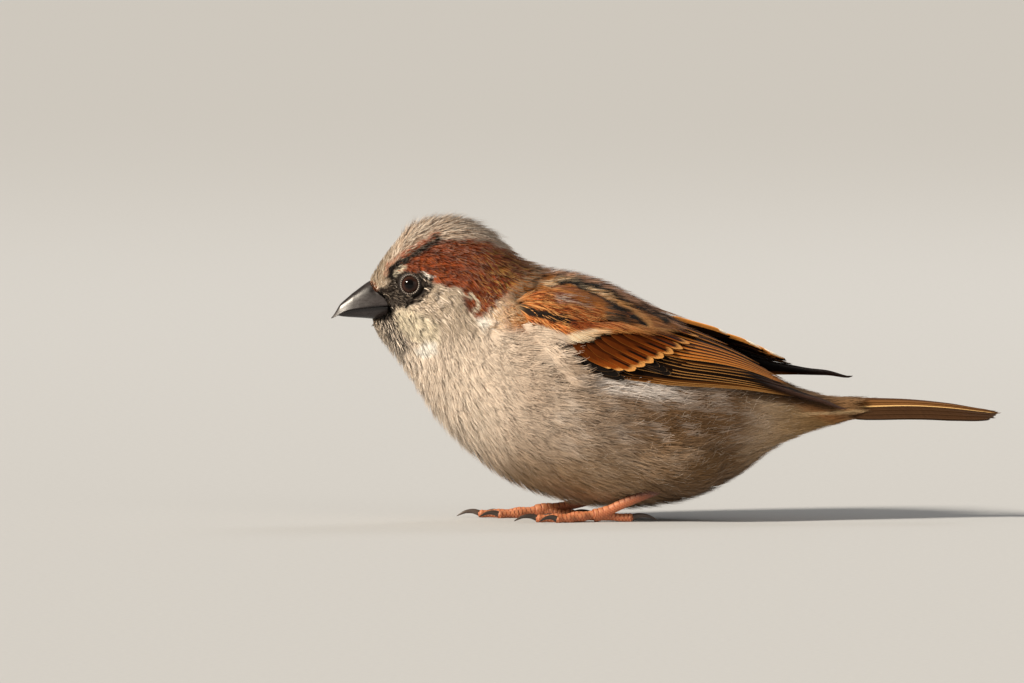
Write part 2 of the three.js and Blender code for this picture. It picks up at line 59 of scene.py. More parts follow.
def linear(code: str) -> tuple[float, float, float, float]:
    """Turns an sRGB hex value into linear colour.

    Args:
        code: "#rrggbb".

    Returns:
        Red, green, blue and a full alpha.
    """
    parts = [int(code[i:i + 2], 16) / 255 for i in (1, 3, 5)]
    return (*(p / 12.92 if p <= 0.04045 else ((p + 0.055) / 1.055) ** 2.4 for p in parts), 1.0)


def tone(shade: "Tone") -> Array:
    """The linear red, green and blue of a plumage tone."""
    return np.array(linear(shade.value)[:3])


class Tone(Enum):
    """Plumage colours of a male in spring."""

    CROWN = "#c8b09a"
    CROWN_PALE = "#e8dccd"
    FOREHEAD = "#917d66"
    CHESTNUT = "#a24a20"
    CHESTNUT_DEEP = "#5a230e"
    CHESTNUT_PALE = "#b56a36"
    BLACK = "#15100d"
    NOSTRIL_TUFT = "#94634a"
    SOOT = "#241c18"
    SOOT_FRINGE = "#75685b"
    CHEEK = "#bfad98"
    CHEEK_PALE = "#e3d6bc"
    WHITE = "#fdf8ee"
    BREAST = "#f2e1ce"
    BREAST_GREY = "#d0baa5"
    # BELLY and FLANK are the bird's own tones, darkened partly by painted shade of the underside
    BELLY = "#a8845a"
    FLANK = "#78552f"
    VENT = "#b38f60"
    NECK_BUFF = "#e4c096"
    NAPE = "#6a4529"
    NAPE_GREY = "#94846e"
    MANTLE = "#c8803e"
    MANTLE_BUFF = "#dba263"
    MANTLE_BROWN = "#8c5226"
    MANTLE_GREY = "#57493c"
    MANTLE_RIDGE = "#d8a684"
    GOLDEN_FLECK = "#b98a48"
    LESSER = "#c06a34"
    GREY_FLUFF = "#bdb0a6"
    WING_BAR = "#fbe9c9"
    WING_BAR_ORANGE = "#dc9a52"
    RUMP = "#94704c"
    WING_SIDE = "#f6ece4"
    # dark blotches of the flank, and also painted shade under the wing, on the rear belly and on the
    # underside
    FLANK_DARK = "#553a22"
    TAIL_LINE = "#e6c394"
    TAIL_BASE = "#9c6a3a"
    UNDERTAIL = "#a07c4e"


# ---- Small numeric tools ----


def unit(v: Array) -> Array:
    """Vectors scaled to length 1 along the last axis."""
    return v / np.maximum(np.linalg.norm(v, axis=-1, keepdims=True), 1e-12)


def ramp(x: Array, low: float, high: float) -> Array:
    """A smooth step from 0 at low to 1 at high; low may be the larger."""
    t = np.clip((np.asarray(x, float) - low) / (high - low), 0, 1)
    return t * t * (3 - 2 * t)


def through(points: Array, u: Array) -> Array:
    """A smooth curve through rows of points.

    Args:
        points: One row for each station.
        u: Places along it, counted in stations.

    Returns:
        The curve's rows at u.
    """
    last = len(points) - 1
    u = np.clip(u, 0, last)
    i = np.minimum(u.astype(int), last - 1)
    w = (u - i)[..., None]
    p0, p1 = points[np.maximum(i - 1, 0)], points[i]
    p2, p3 = points[i + 1], points[np.minimum(i + 2, last)]
    v0, v1 = (p2 - p0) / 2, (p3 - p1) / 2
    return ((2 * p1 - 2 * p2 + v0 + v1) * w ** 3 + (-3 * p1 + 3 * p2 - 2 * v0 - v1) * w ** 2
            + v0 * w + p1)


def height_at(profile: Sequence, x: Array) -> Array:
    """The height of a smooth profile at each X.

    Args:
        profile: Rows [x, z], with X rising or falling.
        x: Where to read it.

    Returns:
        The heights.
    """
    rows = np.array(profile, float)
    rows = rows[np.argsort(rows[:, 0])]
    place = np.interp(x, rows[:, 0], np.arange(len(rows)))
    return through(rows[:, 1:2], place)[..., 0]


def wave_noise(p: Array, size: float, seed: int) -> Array:
    """Smooth pattern noise from -1 to 1 made of a few crossed waves.

    Args:
        p: Points, in mm, along the last axis.
        size: Size of a patch, in mm.
        seed: Which pattern.

    Returns:
        One value for each point.
    """
    rng = np.random.default_rng(seed)
    total = np.zeros(p.shape[:-1])
    for octave in range(6):
        direction = unit(rng.normal(size=p.shape[-1])) * 2 * math.pi / (size * rng.uniform(0.6, 1.7))
        total += np.sin(p @ direction + rng.uniform(0, 2 * math.pi))
    return np.clip(total / 3.0, -1, 1)


def off_stretch(p: Array, a: Array, b: Array) -> Array:
    """The distance from points to the straight stretch between two corners.

    Args:
        p: Points [x, z] along the last axis.
        a, b: The corners.

    Returns:
        One distance for each point, in mm.
    """
    edge = b - a
    t = np.clip(((p - a) @ edge) / (edge @ edge), 0, 1)[..., None]
    return np.linalg.norm(p - a - t * edge, axis=-1)


def from_line(line: Sequence, x: Array, z: Array) -> Array:
    """Distance in mm from points of the side view to an open line of [x, z] rows."""
    p, corners = np.stack([x, z], -1), np.array(line, float)
    return np.min([off_stretch(p, a, b) for a, b in zip(corners[:-1], corners[1:])], axis=0)


def reach_inside(outline: Sequence, x: Array, z: Array) -> Array:
    """How far points lie inside a closed outline of the side view.

    Args:
        outline: Corner rows [x, z], in mm.
        x, z: The points.

    Returns:
        Distance to the outline in mm, positive inside and negative outside.
    """
    corners = np.array(outline, float)
    inside = np.zeros(x.shape, bool)
    for a, b in zip(corners, np.roll(corners, -1, axis=0)):
        if a[1] != b[1]:
            crosses = (a[1] > z) != (b[1] > z)
            inside ^= crosses & (x < (b - a)[0] * (z - a[1]) / (b - a)[1] + a[0])
    away = from_line([*corners, corners[0]], x, z)
    return np.where(inside, away, -away)


def blend(base: Array, over: Array, weight: Array) -> Array:
    """Colours mixed by a weight for each of them."""
    return base + (over - base) * np.asarray(weight)[..., None]


def laid(colour: Tone | Array, *layers: tuple[Any, Array]) -> Array:
    """Lays tones over a colour, one after another.

    Args:
        colour: A tone, or linear colours along the last axis.
        layers: Each a tone or colours, and its weight at each place.

    Returns:
        The colour with all of them over it.
    """
    colour = tone(colour) if isinstance(colour, Tone) else colour
    for over, weight in layers:
        colour = blend(colour, tone(over) if isinstance(over, Tone) else over, weight)
    return colour


# ---- Making meshes and materials ----


@dataclass
class MeshPart:
    """Vertices, four-cornered faces and what each vertex carries; places are in mm."""

    points: Array
    quads: Array
    tones: Array | None = None
    normals: Array | None = None
    maps: dict[str, Array] = field(default_factory=dict)
    values: dict[str, Array] = field(default_factory=dict)

    def __post_init__(self) -> None:
        """Turns whatever grids it is given into plain rows."""
        self.points, self.quads = self.points.reshape(-1, 3), self.quads.reshape(-1, 4)
        self.tones = None if self.tones is None else self.tones.reshape(-1, 3)
        self.normals = None if self.normals is None else self.normals.reshape(-1, 3)
        self.maps = {k: v.reshape(-1, 2) for k, v in self.maps.items()}
        self.values = {k: v.reshape(-1) for k, v in self.values.items()}


def put(name: str, part: MeshPart, finish: bpy.types.Material,
        nodes: Sequence[str] = ()) -> bpy.types.Object:
    """Makes a shown piece of the bird from a part.

    Args:
        name: The piece's name.
        part: Its mesh.
        finish: Its material.
        nodes: CAD nodes that it stands for.

    Returns:
        The new object, riding on the one body.
    """
    mesh = bpy.data.meshes.new(name)
    mesh.vertices.add(len(part.points))
    mesh.vertices.foreach_set("co", (part.points * MM).astype(np.float32).ravel())
    corners = part.quads.astype(np.int32).ravel()
    mesh.loops.add(len(corners))
    mesh.loops.foreach_set("vertex_index", corners)
    mesh.polygons.add(len(part.quads))
    mesh.polygons.foreach_set("loop_start", np.arange(0, len(corners), 4, dtype=np.int32))
    mesh.polygons.foreach_set("use_smooth", np.ones(len(part.quads), bool))
    mesh.update(calc_edges=True)
    for label, uv in part.maps.items():
        mesh.uv_layers.new(name=label).data.foreach_set("uv", uv[corners].astype(np.float32).ravel())
    for label, value in part.values.items():
        layer = mesh.attributes.new(label, "FLOAT", "POINT")
        layer.data.foreach_set("value", value.astype(np.float32))
    if part.tones is not None:
        rgba = np.ones((len(part.points), 4), np.float32)
        rgba[:, :3] = part.tones
        mesh.color_attributes.new("plumage", "FLOAT_COLOR", "POINT").data.foreach_set("color", rgba.ravel())
    if part.normals is not None:
        mesh.normals_split_custom_set_from_vertices(unit(part.normals))
    mesh.materials.append(finish)
    piece = bpy.data.objects.new(name, mesh)
    bpy.context.scene.collection.objects.link(piece)
    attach(piece, "root")
    if nodes:
        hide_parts(*nodes)
    LOG.info("%s: %d triangles", name, 2 * len(part.quads))
    return piece


def grid_quads(rows: int, columns: int, closed: bool = False) -> Array:
    """Faces over a grid of vertices, row by row.

    Args:
        rows, columns: Vertices each way.
        closed: Whether the last column joins the first.

    Returns:
        One row of four vertex numbers for each face.
    """
    r = np.arange(rows - 1)[:, None]
    c = np.arange(columns if closed else columns - 1)[None, :]
    near, far = c, (c + 1) % columns
    faces = np.stack([r * columns + near, (r + 1) * columns + near,
                      (r + 1) * columns + far, r * columns + far], -1)
    return faces.reshape(-1, 4)


def add_node(tree: bpy.types.NodeTree, name: str, kind: str, values: dict[Any, Any]) -> None:
    """Adds a node to a material, with its settings and links.

    Args:
        tree: The material's node tree.
        name: What later nodes call it.
        kind: Blender's name of the node type, after "ShaderNode".
        values: Its own fields, a colour ramp's stops as pairs of a place and a hex value, and its inputs
            by name or number. Text for an input is a hex value or a link: the name of an earlier node
            and, after a full stop, its output, where that isn't the first.
    """
    node = tree.nodes.new("ShaderNode" + kind)
    node.name = name
    for key, value in values.items():
        if key == "stops":
            stops = node.color_ramp.elements
            stops[0].position, stops[1].position = value[0][0], value[-1][0]
            for place, _ in value[1:-1]:
                stops.new(place)
            for stop, (_, code) in zip(stops, value):
                stop.color = linear(code)
        elif isinstance(key, str) and hasattr(node, key):
            setattr(node, key, value)
        elif isinstance(value, str) and value[0] != "#":
            source, _, output = value.partition(".")
            outputs = tree.nodes[source].outputs
            tree.links.new(outputs[int(output) if output.isdigit() else output or 0], node.inputs[key])
        else:
            node.inputs[key].default_value = linear(value) if isinstance(value, str) else value


def make_material(name: str, *nodes: tuple[str, str, dict[Any, Any]]) -> bpy.types.Material:
    """Makes a material.

    Args:
        name: Its name.
        nodes: The name, the kind and the values of each node, in order; the shader is the last.

    Returns:
        The material, with its shader joined to the output.
    """
    material = bpy.data.materials.new(name)
    material.use_nodes = True
    material.node_tree.nodes.clear()
    for node in (*nodes, ("output", "OutputMaterial", {"Surface": nodes[-1][0]})):
        add_node(material.node_tree, *node)
    return material


OBJECT_PLACE = ("place", "TexCoord", {})
MARKED_COLOUR = ("colour", "VertexColor", {"layer_name": "plumage"})


@dataclass(frozen=True)
class DownyPlumage:
    """Keratin barbs of contour feathers, grown and preened: matt, soft, with fine paler streaks."""

    name: str = "contour_feather_keratin_downy"
    roughness: float = 0.82  # barbs scatter light, so plumage has no clear highlight
    sheen: float = 0.04  # the loose barbules catch light at grazing angles
    streak_mm: float = 0.5  # barbs are 0.05 mm apart, drawn coarser so that they show
    contrast: float = 0.22

    def make(self) -> bpy.types.Material:
        """The material, coloured by the markings that each vertex carries."""
        return make_material(
            self.name, MARKED_COLOUR, OBJECT_PLACE,
            ("fine", "TexNoise", {"Vector": "place.Object", "Scale": 1 / (self.streak_mm * MM),
                                  "Detail": 3.0, "Roughness": 0.6}),
            ("value", "MapRange", {"Value": "fine", "To Min": 1 - self.contrast,
                                   "To Max": 1 + self.contrast}),
            ("tinted", "HueSaturation", {"Value": "value", "Color": "colour"}),
            ("bump", "Bump", {"Height": "fine", "Strength": 0.25, "Distance": 0.06 * MM}),
            ("shader", "BsdfPrincipled", {
                "Base Color": "tinted", "Normal": "bump", "Roughness": self.roughness,
                "Sheen Weight": self.sheen, "Sheen Roughness": 0.5, "Specular IOR Level": 0.12}))


@dataclass(frozen=True)
class CoveredSkin:
    """Thin living skin with down over it, seen only between feathers: dull, and dark from painted shade."""

    name: str = "bird_skin_under_down"
    painted_shade: float = 0.42  # painted shade, since little light reaches it
    pore_mm: float = 0.9  # between feather roots

    def make(self) -> bpy.types.Material:
        """The material: the plumage's own markings darkened by painted shade, with pimpled feather roots."""
        return make_material(
            self.name, MARKED_COLOUR, OBJECT_PLACE,
            ("pores", "TexVoronoi", {"Vector": "place.Object", "Scale": 1 / (self.pore_mm * MM)}),
            ("value", "MapRange", {"Value": "pores", "To Min": self.painted_shade * 0.8,
                                   "To Max": self.painted_shade * 1.2}),
            ("shaded", "HueSaturation", {"Value": "value", "Color": "colour"}),
            ("bump", "Bump", {"Height": "pores", "Strength": 0.5, "Distance": 0.15 * MM}),
            ("shader", "BsdfPrincipled", {"Base Color": "shaded", "Normal": "bump", "Roughness": 0.8,
                                          "Specular IOR Level": 0.2}))


# ---- The body's form ----


@dataclass
class EyeSocket:
    """Where the eyes sit and how the face dips to them."""

    x: float = -56.25
    y: float = 5.9
    z: float = 52.5
    ball_radius: float = 2.7
    opening_radius: float = 1.95
    hollow: tuple[float, float] = (-56.8, 52.4)
    hollow_reach: tuple[float, float] = (5.0, 3.9)
    hollow_depth: float = 1.9


@dataclass
class Surface:
    """A surface that feathers grow on, with two places on it: s towards the bill, v across."""

    def point(self, s: Array, v: Array) -> Array:
        """Points of the surface; each form has its own."""
        raise NotImplementedError

    def frame(self, s: Array, v: Array) -> tuple[Array, Array, Array, Array]:
        """Where and which way the surface lies.

        Args:
            s, v: Places on the surface.

        Returns:
            Points, outward normals, and the tangents along s and v in mm for each unit.
        """
        es, ev = 0.03, 0.003
        along = (self.point(s + es, v) - self.point(s - es, v)) / (2 * es)
        across = (self.point(s, v + ev) - self.point(s, v - ev)) / (2 * ev)
        return self.point(s, v), unit(np.cross(along, across)) * self.outward(), along, across

    def outward(self) -> float:
        """The sign that turns the cross product of the tangents outwards."""
        return 1.0

    def lie(self, s: Array, v: Array) -> tuple[Array, Array, Array, Array]:
        """How feathers lie.

        Args:
            s, v: Where they root.

        Returns:
            Points, outward normals, the way that feathers lie and the way across them.
        """
        point, out, along, _ = self.frame(s, v)
        way = unit(-along)
        return point, out, way, np.cross(out, way)


def shift(along: Array, across: Array, way: Array) -> tuple[Array, Array]:
    """Steps in s and v that move a point of a surface by a tangent vector.

    Args:
        along, across: The tangents along s and v.
        way: The wanted move, in mm.

    Returns:
        The steps in s and in v.
    """
    aa, ac, cc = (along * along).sum(-1), (along * across).sum(-1), (across * across).sum(-1)
    a, c = (along * way).sum(-1), (across * way).sum(-1)
    det = np.maximum(aa * cc - ac * ac, 1e-9)
    return (a * cc - c * ac) / det, (c * aa - a * ac) / det


@dataclass
class BodyForm(Surface):
    """The outline of the coat from the tail coverts (s = 0) to the face (s = 17).

    v goes once round: 0 is the back, 0.25 the left side, 0.5 the underside, 0.75 the right side.
    """

    # Each slice: top x, z; bottom x, z; half width; height of its widest level as a share.
    stations: Array = field(default_factory=lambda: np.array([
        (36.6, 27.6, 37.0, 20.8, 5.6, 0.55), (30.0, 29.6, 32.4, 19.4, 8.6, 0.52),
        (22.5, 33.4, 24.5, 15.6, 12.8, 0.5), (14.5, 38.4, 16.0, 9.2, 16.8, 0.5),
        (6.0, 42.8, 7.0, 4.6, 19.8, 0.48), (-3.0, 48.3, -4.0, 2.3, 21.7, 0.47),
        (-11.5, 52.8, -14.5, 2.3, 22.4, 0.46), (-19.5, 55.5, -24.5, 4.2, 21.9, 0.46),
        (-26.5, 56.6, -34.5, 7.9, 20.6, 0.46), (-31.5, 58.6, -43.5, 14.4, 18.4, 0.46),
        (-35.0, 61.6, -50.6, 21.8, 15.8, 0.46), (-39.5, 65.2, -55.6, 29.2, 13.6, 0.46),
        (-45.0, 67.7, -60.2, 35.8, 11.5, 0.42), (-51.2, 67.7, -63.2, 39.9, 9.1, 0.42),
        (-56.6, 65.6, -64.4, 42.2, 7.5, 0.44), (-60.8, 61.0, -64.9, 43.2, 6.0, 0.46),
        (-63.9, 56.8, -65.3, 44.1, 4.3, 0.48), (-65.8, 53.4, -65.5, 45.2, 2.4, 0.5)]))
    roundness: float = 0.94
    socket: EyeSocket = field(default_factory=EyeSocket)
    # Where feathers give way to the bill: z, x.
    bill_edge: tuple = ((43.9, -64.8), (45.0, -63.2), (46.2, -61.8), (47.6, -61.2), (49.0, -61.8),
        (50.0, -62.8), (50.9, -64.1), (52.2, -65.3), (53.4, -66.2))
    # Each thigh swells the flank: centre, radii.
    thighs: tuple = (((3.4, -13.0, 14.0), (10.5, 7.6, 8.2)), ((-7.6, 12.8, 12.4), (10.5, 7.6, 8.2)))
    tail_slope_top: float = -0.03  # past the last slice the coverts run out along the tail
    tail_slope_bottom: float = 0.3

    def point(self, s: Array, v: Array) -> Array:
        """Points of the coat's outline, in mm.

        Args:
            s, v: Places on the body.

        Returns:
            The points.
        """
        row = through(self.stations, s)
        top, bottom, half, widest = row[..., 0:2], row[..., 2:4], row[..., 4], row[..., 5]
        cos, sin = np.cos(2 * np.pi * v), np.sin(2 * np.pi * v)
        power, soft = (self.roundness - 1) / 2, 0.02
        rise = cos * (cos * cos + soft) ** power / (1 + soft) ** power
        out = sin * (sin * sin + soft) ** power / (1 + soft) ** power
        centre = bottom + (top - bottom) * widest[..., None]
        at = centre + (np.where(rise[..., None] >= 0, top, bottom) - centre) * np.abs(rise)[..., None]
        eye = self.socket
        away = (((at[..., 0] - eye.hollow[0]) / eye.hollow_reach[0]) ** 2
                + ((at[..., 1] - eye.hollow[1]) / eye.hollow_reach[1]) ** 2)
        dip = eye.hollow_depth * np.exp(-away) * out ** 2
        place = np.stack([at[..., 0], -(out * half - np.sign(out) * dip), at[..., 1]], -1)
        place[..., 1] *= 1 - 0.8 * ramp(self.into_bill(place), -0.3, 0.9)
        place = self._with_thighs(place, centre)
        past = -np.minimum(s, 0) * 8.0  # mm beyond the last slice
        slope = self.tail_slope_bottom + (self.tail_slope_top - self.tail_slope_bottom) * (1 + rise) / 2
        place[..., 0] += past
        place[..., 1] *= 1 - 0.03 * past
        place[..., 2] += past * slope
        return place

    def into_bill(self, place: Array) -> Array:
        """How far a place lies ahead of the bill's feathered edge, in mm.

        Args:
            place: Points in mm.

        Returns:
            The distance for each, negative behind the edge.
        """
        z = place[..., 2]
        ahead = height_at(self.bill_edge, z) - place[..., 0]
        return np.where((z > 43.6) & (z < 53.6), ahead, -1.0)

    def _with_thighs(self, place: Array, centre: Array) -> Array:
        """Pushes the outline out where a thigh lies under the feathers.

        Args:
            place: Points of the outline.
            centre: The middle of the slice of each, as X and Z.

        Returns:
            The moved points.
        """
        heart = np.stack([centre[..., 0], 0 * centre[..., 0], centre[..., 1]], -1)
        ray = place - heart
        for middle, radii in self.thighs:
            a = (heart - np.array(middle)) / np.array(radii)
            b = ray / np.array(radii)
            bb, ab, aa = (b * b).sum(-1), (a * b).sum(-1), (a * a).sum(-1)
            inside = ab * ab - bb * (aa - 1)
            far = np.where(inside > 0, (-ab + np.sqrt(np.maximum(inside, 0))) / bb, 0.0)
            soft = 14.0
            push = np.log1p(np.exp(np.clip((far - 1) * soft, -30, 30))) / soft
            fade = np.clip(inside / (0.25 * bb), 0, 1)
            place = place + ray * (push * fade)[..., None]
        return place

    def coat_depth(self, s: Array, v: Array) -> Array:
        """Depth of the feathers over the skin, in mm: thin on the face, deep on the belly.

        Args:
            s, v: Places on the body.

        Returns:
            The depth at each.
        """
        known = np.array([0, 2, 5, 8, 10, 12, 13.5, 15, 16, 17])
        depth = np.interp(s, known, [0.8, 1.8, 2.8, 2.6, 2.1, 1.6, 1.1, 0.6, 0.42, 0.35])
        top = 0.5 + 0.5 * np.cos(2 * np.pi * v)
        return depth * (1 + 0.25 * top * ramp(s, 11, 12.5) * ramp(s, 15.5, 14))


# ---- Markings ----


@dataclass(frozen=True)
class Patch:
    """An area of one colour in the side view, the same on both sides of the bird."""

    outline: tuple
    colour: Tone
    blur: float = 0.8  # mm over which its edge fades
    strength: float = 1.0
    flecks: float = 0.0  # share of barbs that don't take the colour

    def weight(self, x: Array, z: Array, fleck: Array) -> Array:
        """How much of the patch's colour shows at each point."""
        inside = reach_inside(self.outline, x, z)
        return ramp(inside, -self.blur / 2, self.blur / 2) * self.strength * (fleck >= self.flecks)


@dataclass
class Markings:
    """Where each colour of a male's plumage lies, by place on the body."""

    crown: Patch = Patch(((-67, 52.4), (-63.3, 51.7), (-61.9, 51.9), (-60.9, 54.4), (-60.8, 56.4),
        (-58.6, 58.3), (-56.1, 60.0), (-52.2, 61.9), (-50, 62.8), (-44.4, 62.9), (-41.1, 62.6),
        (-38.3, 62.1), (-35.6, 60.9), (-31, 59.0), (-30, 62), (-36.5, 72), (-50, 73.5), (-63.5, 68),
        (-69, 57.5)), Tone.CROWN, 1.0)
    chestnut: Patch = Patch(((-60.4, 56.0), (-58.4, 58.0), (-56.1, 59.8), (-52.2, 61.6), (-50, 62.6),
        (-44.4, 62.8), (-41.1, 62.5), (-38.3, 62), (-35.6, 60.8), (-31.5, 58.6), (-29.5, 56.3),
        (-32.2, 53.9), (-34.4, 51.7), (-36.1, 50), (-38.9, 47.2), (-41.7, 45), (-43.2, 46.8), (-44.3, 48.9),
        (-44, 50.4), (-45, 51.7), (-46.7, 52.5), (-50, 52.7), (-52.2, 53.2), (-55, 54.6), (-58, 55.2)),
        Tone.CHESTNUT, 0.8)
    nape: Patch = Patch(((-35.6, 60.6), (-30, 57.8), (-28.2, 57.2), (-27, 56.6), (-27.4, 52.8),
        (-29.9, 50.6), (-32.2, 48.9), (-35.6, 48.9), (-33.3, 52.8), (-31, 55.6)), Tone.NAPE_GREY, 1.6, 0.8,
        0.35)
    neck_buff: Patch = Patch(((-41.1, 45.3), (-38.3, 47.2), (-35.6, 49.6), (-32.2, 49.4), (-29.6, 47.6),
        (-31.2, 45), (-36.7, 43.0), (-38.9, 42.2)), Tone.NECK_BUFF, 2.6, 0.8, 0.35)
    mask: Patch = Patch(((-64.5, 51.2), (-61.9, 51.9), (-60.9, 54.4), (-60.3, 55.4), (-58.6, 55.3),
        (-54.4, 55.3), (-52.2, 53.9), (-51.6, 52.4), (-52.7, 51.4), (-54, 49.9), (-55.4, 48.7),
        (-56.9, 48.1), (-58.4, 48.1), (-59.9, 47.3), (-60.6, 46.1), (-61, 44.8), (-65, 44.8)), Tone.SOOT,
        0.7, 0.97, 0.1)
    bib: Patch = Patch(((-64, 45.4), (-60, 45.4), (-59.2, 42.2), (-57.3, 40.0), (-57.2, 37.6),
        (-58.4, 36.4), (-60.4, 37.6), (-61.6, 39.4), (-62.7, 42.2)), Tone.SOOT, 0.8, 0.95, 0.4)
    bib_front: Patch = Patch(((-68, 48), (-61.5, 45.5), (-60.4, 42), (-59.4, 39), (-57.6, 35.5), (-60, 33),
        (-64, 36), (-68, 44)), Tone.SOOT, 0.9, 0.8, 0.55)
    cheek_pale: Patch = Patch(((-60.4, 46.6), (-57.4, 47.4), (-54.4, 46), (-50.5, 43.5), (-50, 39.5),
        (-53.5, 39.5), (-57.4, 40.6), (-59.4, 42.4)), Tone.CHEEK_PALE, 2.4, 0.9)
    brow_front: Patch = Patch(((-60.4, 55.6), (-59.2, 56.8), (-57.8, 57.2), (-57.7, 56.2), (-58.9, 55.0),
        (-60.2, 54.3)), Tone.CHEEK_PALE, 0.4, 0.95, 0.15)
    brow_back: Patch = Patch(((-55.0, 55.4), (-53.2, 55.5), (-51.6, 54.6), (-52.7, 53.9), (-54.2, 54.5)),
        Tone.WHITE, 0.35, 0.85, 0.1)
    neck_spot: Patch = Patch(((-42.2, 44.9), (-40.6, 46.0), (-38.6, 44.7), (-40.3, 42.6)), Tone.WHITE, 1.0)
    throat_spot: Patch = Patch(((-55.6, 37.6), (-53.2, 40.1), (-50.4, 39.5), (-51.2, 37.2), (-54.8, 35.9)),
        Tone.WHITE, 1.1)
    # painted shadow just ahead of the pale crescent
    crescent_dark: Patch = Patch(((-45, 50.6), (-43.6, 50.6), (-43, 48), (-42.6, 46), (-43.8, 46.6),
        (-44.6, 48.6)), Tone.CHESTNUT_DEEP, 0.6, 0.8)
    crescent: tuple = ((-43.4, 50.3), (-42.2, 49.6), (-41.7, 48.6), (-42.0, 47.6), (-42.6, 46.7))
    # painted shade on the rear belly beside the thighs
    thigh_shade: Patch = Patch(((5, 13), (11, 17.5), (17, 16.5), (17, 12), (11, 9), (6, 9.5)),
        Tone.FLANK_DARK, 3.0, 0.9)
    stripe_pitch: float = 3.4  # mm between the back's black stripes
    tail_line: tuple = ((30, 23.8), (36, 24.0), (41, 24.1), (48, 24.4))
    wing_gap: tuple = ((10, 29.6), (17, 28.9), (28, 27.3), (38, 25.6))  # painted shadow in the dark gap under the wing's tip
    wing_side: tuple = ((-13, 31.6), (-8, 31.0), (-3, 30.2), (4, 29.4), (12, 28.6))
    # Where the breast's plumes end on the folded wing.
    shoulder_line: tuple = ((-36, 45.2), (-31, 44.8), (-27.8, 44.1), (-23.3, 42.5), (-20, 41.0), (-12, 37.0))
    nostril_tuft: Patch = Patch(((-67, 53.4), (-65.0, 53.2), (-63.9, 51.2), (-64.6, 50.2), (-67, 51)),
        Tone.NOSTRIL_TUFT, 0.5, 0.9, 0.2)
    # painted shadow: the dark gap between the grey crown and the chestnut
    shadow_slit: tuple = ((-61.3, 54), (-60.7, 56.2), (-57.8, 58.1), (-54.4, 60.2), (-52.2, 61.5), (-50, 62.8))
    streak_top: tuple = ((-27.8, 54.9), (-25.5, 55.2), (-22.2, 55.0), (-18.5, 54.1))
    streak_upper: tuple = ((-24, 53.5), (-16.7, 53.1), (-11.9, 51.5), (-7.8, 48.9), (-4.1, 47), (0.4, 44.4))
    streak_lower: tuple = ((-20, 52.8), (-18.1, 51.7), (-14.1, 49.8), (-11.5, 48.2), (-7.8, 45.9),
        (-4.4, 43.7))
    streak_front: tuple = ((-26, 53.2), (-22.5, 54.1), (-19.2, 54.1))
    streak_buff: tuple = ((-19.6, 53), (-14.4, 51.7), (-10, 48.7), (-7, 46.3), (-3.7, 44.1))
    scapular_fringe: tuple = ((-12.5, 44.2), (-7, 43.4), (-1.9, 42.7), (4, 41.8))
    ridge: tuple = ((-27, 56.3), (-19.5, 55.0), (-11.5, 52.3), (-3, 47.8), (4.5, 43.2))
    streak_rear: tuple = ((-4.5, 48.6), (-0.5, 46.2), (4.4, 43))
    black_fall: Patch = Patch(((-12.4, 48.4), (-7.8, 47), (-3.8, 43.5), (-7, 43.8), (-10.6, 45.4)),
        Tone.BLACK, 0.9, 0.8, 0.25)
    grey_fall: Patch = Patch(((-13.4, 48), (-11.5, 48.2), (-8.5, 45.2), (-6.6, 42.8), (-11.5, 43.2),
        (-13.6, 45.9)), Tone.MANTLE_GREY, 1.2, 0.9, 0.2)

    def body(self, place: Array, fleck: Array | float = 0.5) -> Array:
        """The coat's colour on the body.

        Args:
            place: Points in mm along the last axis.
            fleck: For each, a number from 0 to 1 that stands for its barb's luck.

        Returns:
            Linear red, green and blue for each.
        """
        x, z = place[..., 0], place[..., 2]
        fleck = np.broadcast_to(fleck, x.shape)
        drift = wave_noise(place, 7.0, 3)
        patchy = wave_noise(place * (0.6, 1, 1.4), 3.2, 5) * ramp(x, -34, -18) * ramp(x, 36, 26)
        fluff = ramp(from_line(self.wing_side, x, z), 3.8, 1.2) * (fleck > 0.1) * ramp(x, -19, -12)
        back = (ramp(x, -38, -33) * ramp(z, 41.5, 44.5) * ramp(x, 10, 4)
                + ramp(x, 4, 10) * ramp(z + 0.55 * (x - 4), 38, 42))
        colour = laid(
            Tone.BREAST,
            (Tone.CHEEK, ramp(z, 36, 44) * ramp(x, -38, -44) * (fleck > 0.25)),
            (Tone.BREAST_GREY, ramp(x, -44, -28) * (0.75 + 0.2 * drift)),
            (Tone.FLANK, ramp(x, -30, 2) * ramp(z, 8, 20) * ramp(x, 26, 14) * 0.92),
            (Tone.FLANK_DARK, np.clip(patchy * 0.7 - 0.05, 0, 0.45) * (fleck < 0.8)),
            (Tone.WING_SIDE, np.clip(-patchy * 0.5 - 0.15, 0, 0.2)),
            (Tone.WING_SIDE, fluff * (1 - 0.85 * ramp(x, -2, 9)) * 0.9),
            # painted shade on the rear belly
            (Tone.FLANK_DARK, self.thigh_shade.weight(x, z, fleck)),
            (Tone.BELLY, ramp(z, 22, 7) * ramp(x, -52, -30) * 0.8),
            # painted shade: darker towards the underside
            (Tone.FLANK_DARK, ramp(z, 19, 7) * ramp(x, -14, 2) * 0.7),
            (Tone.VENT, ramp(x, 14, 28) * 0.8),
            (Tone.UNDERTAIL, ramp(x, 24, 36) * ramp(z, 27, 22)),
            (Tone.TAIL_BASE, ramp(x, 31, 36) * ramp(z, 23.4, 24.2) * ramp(x, 36, 40) * 0.9),
            (self.mantle(place, fleck), np.clip(back, 0, 1)),
            (Tone.RUMP, ramp(x, 12, 20) * ramp(z + 0.5 * (x - 20), 31, 34)),
            (Tone.TAIL_LINE, ramp(from_line(self.tail_line, x, z), 0.5, 0.2) * ramp(x, 28, 33)),
            # painted shadow in the gap under the wing's tip
            (Tone.FLANK_DARK, ramp(from_line(self.wing_gap, x, z), 1.7, 0.5) * ramp(x, 10, 20) * 0.85))
        return self.head(place, colour, fleck)

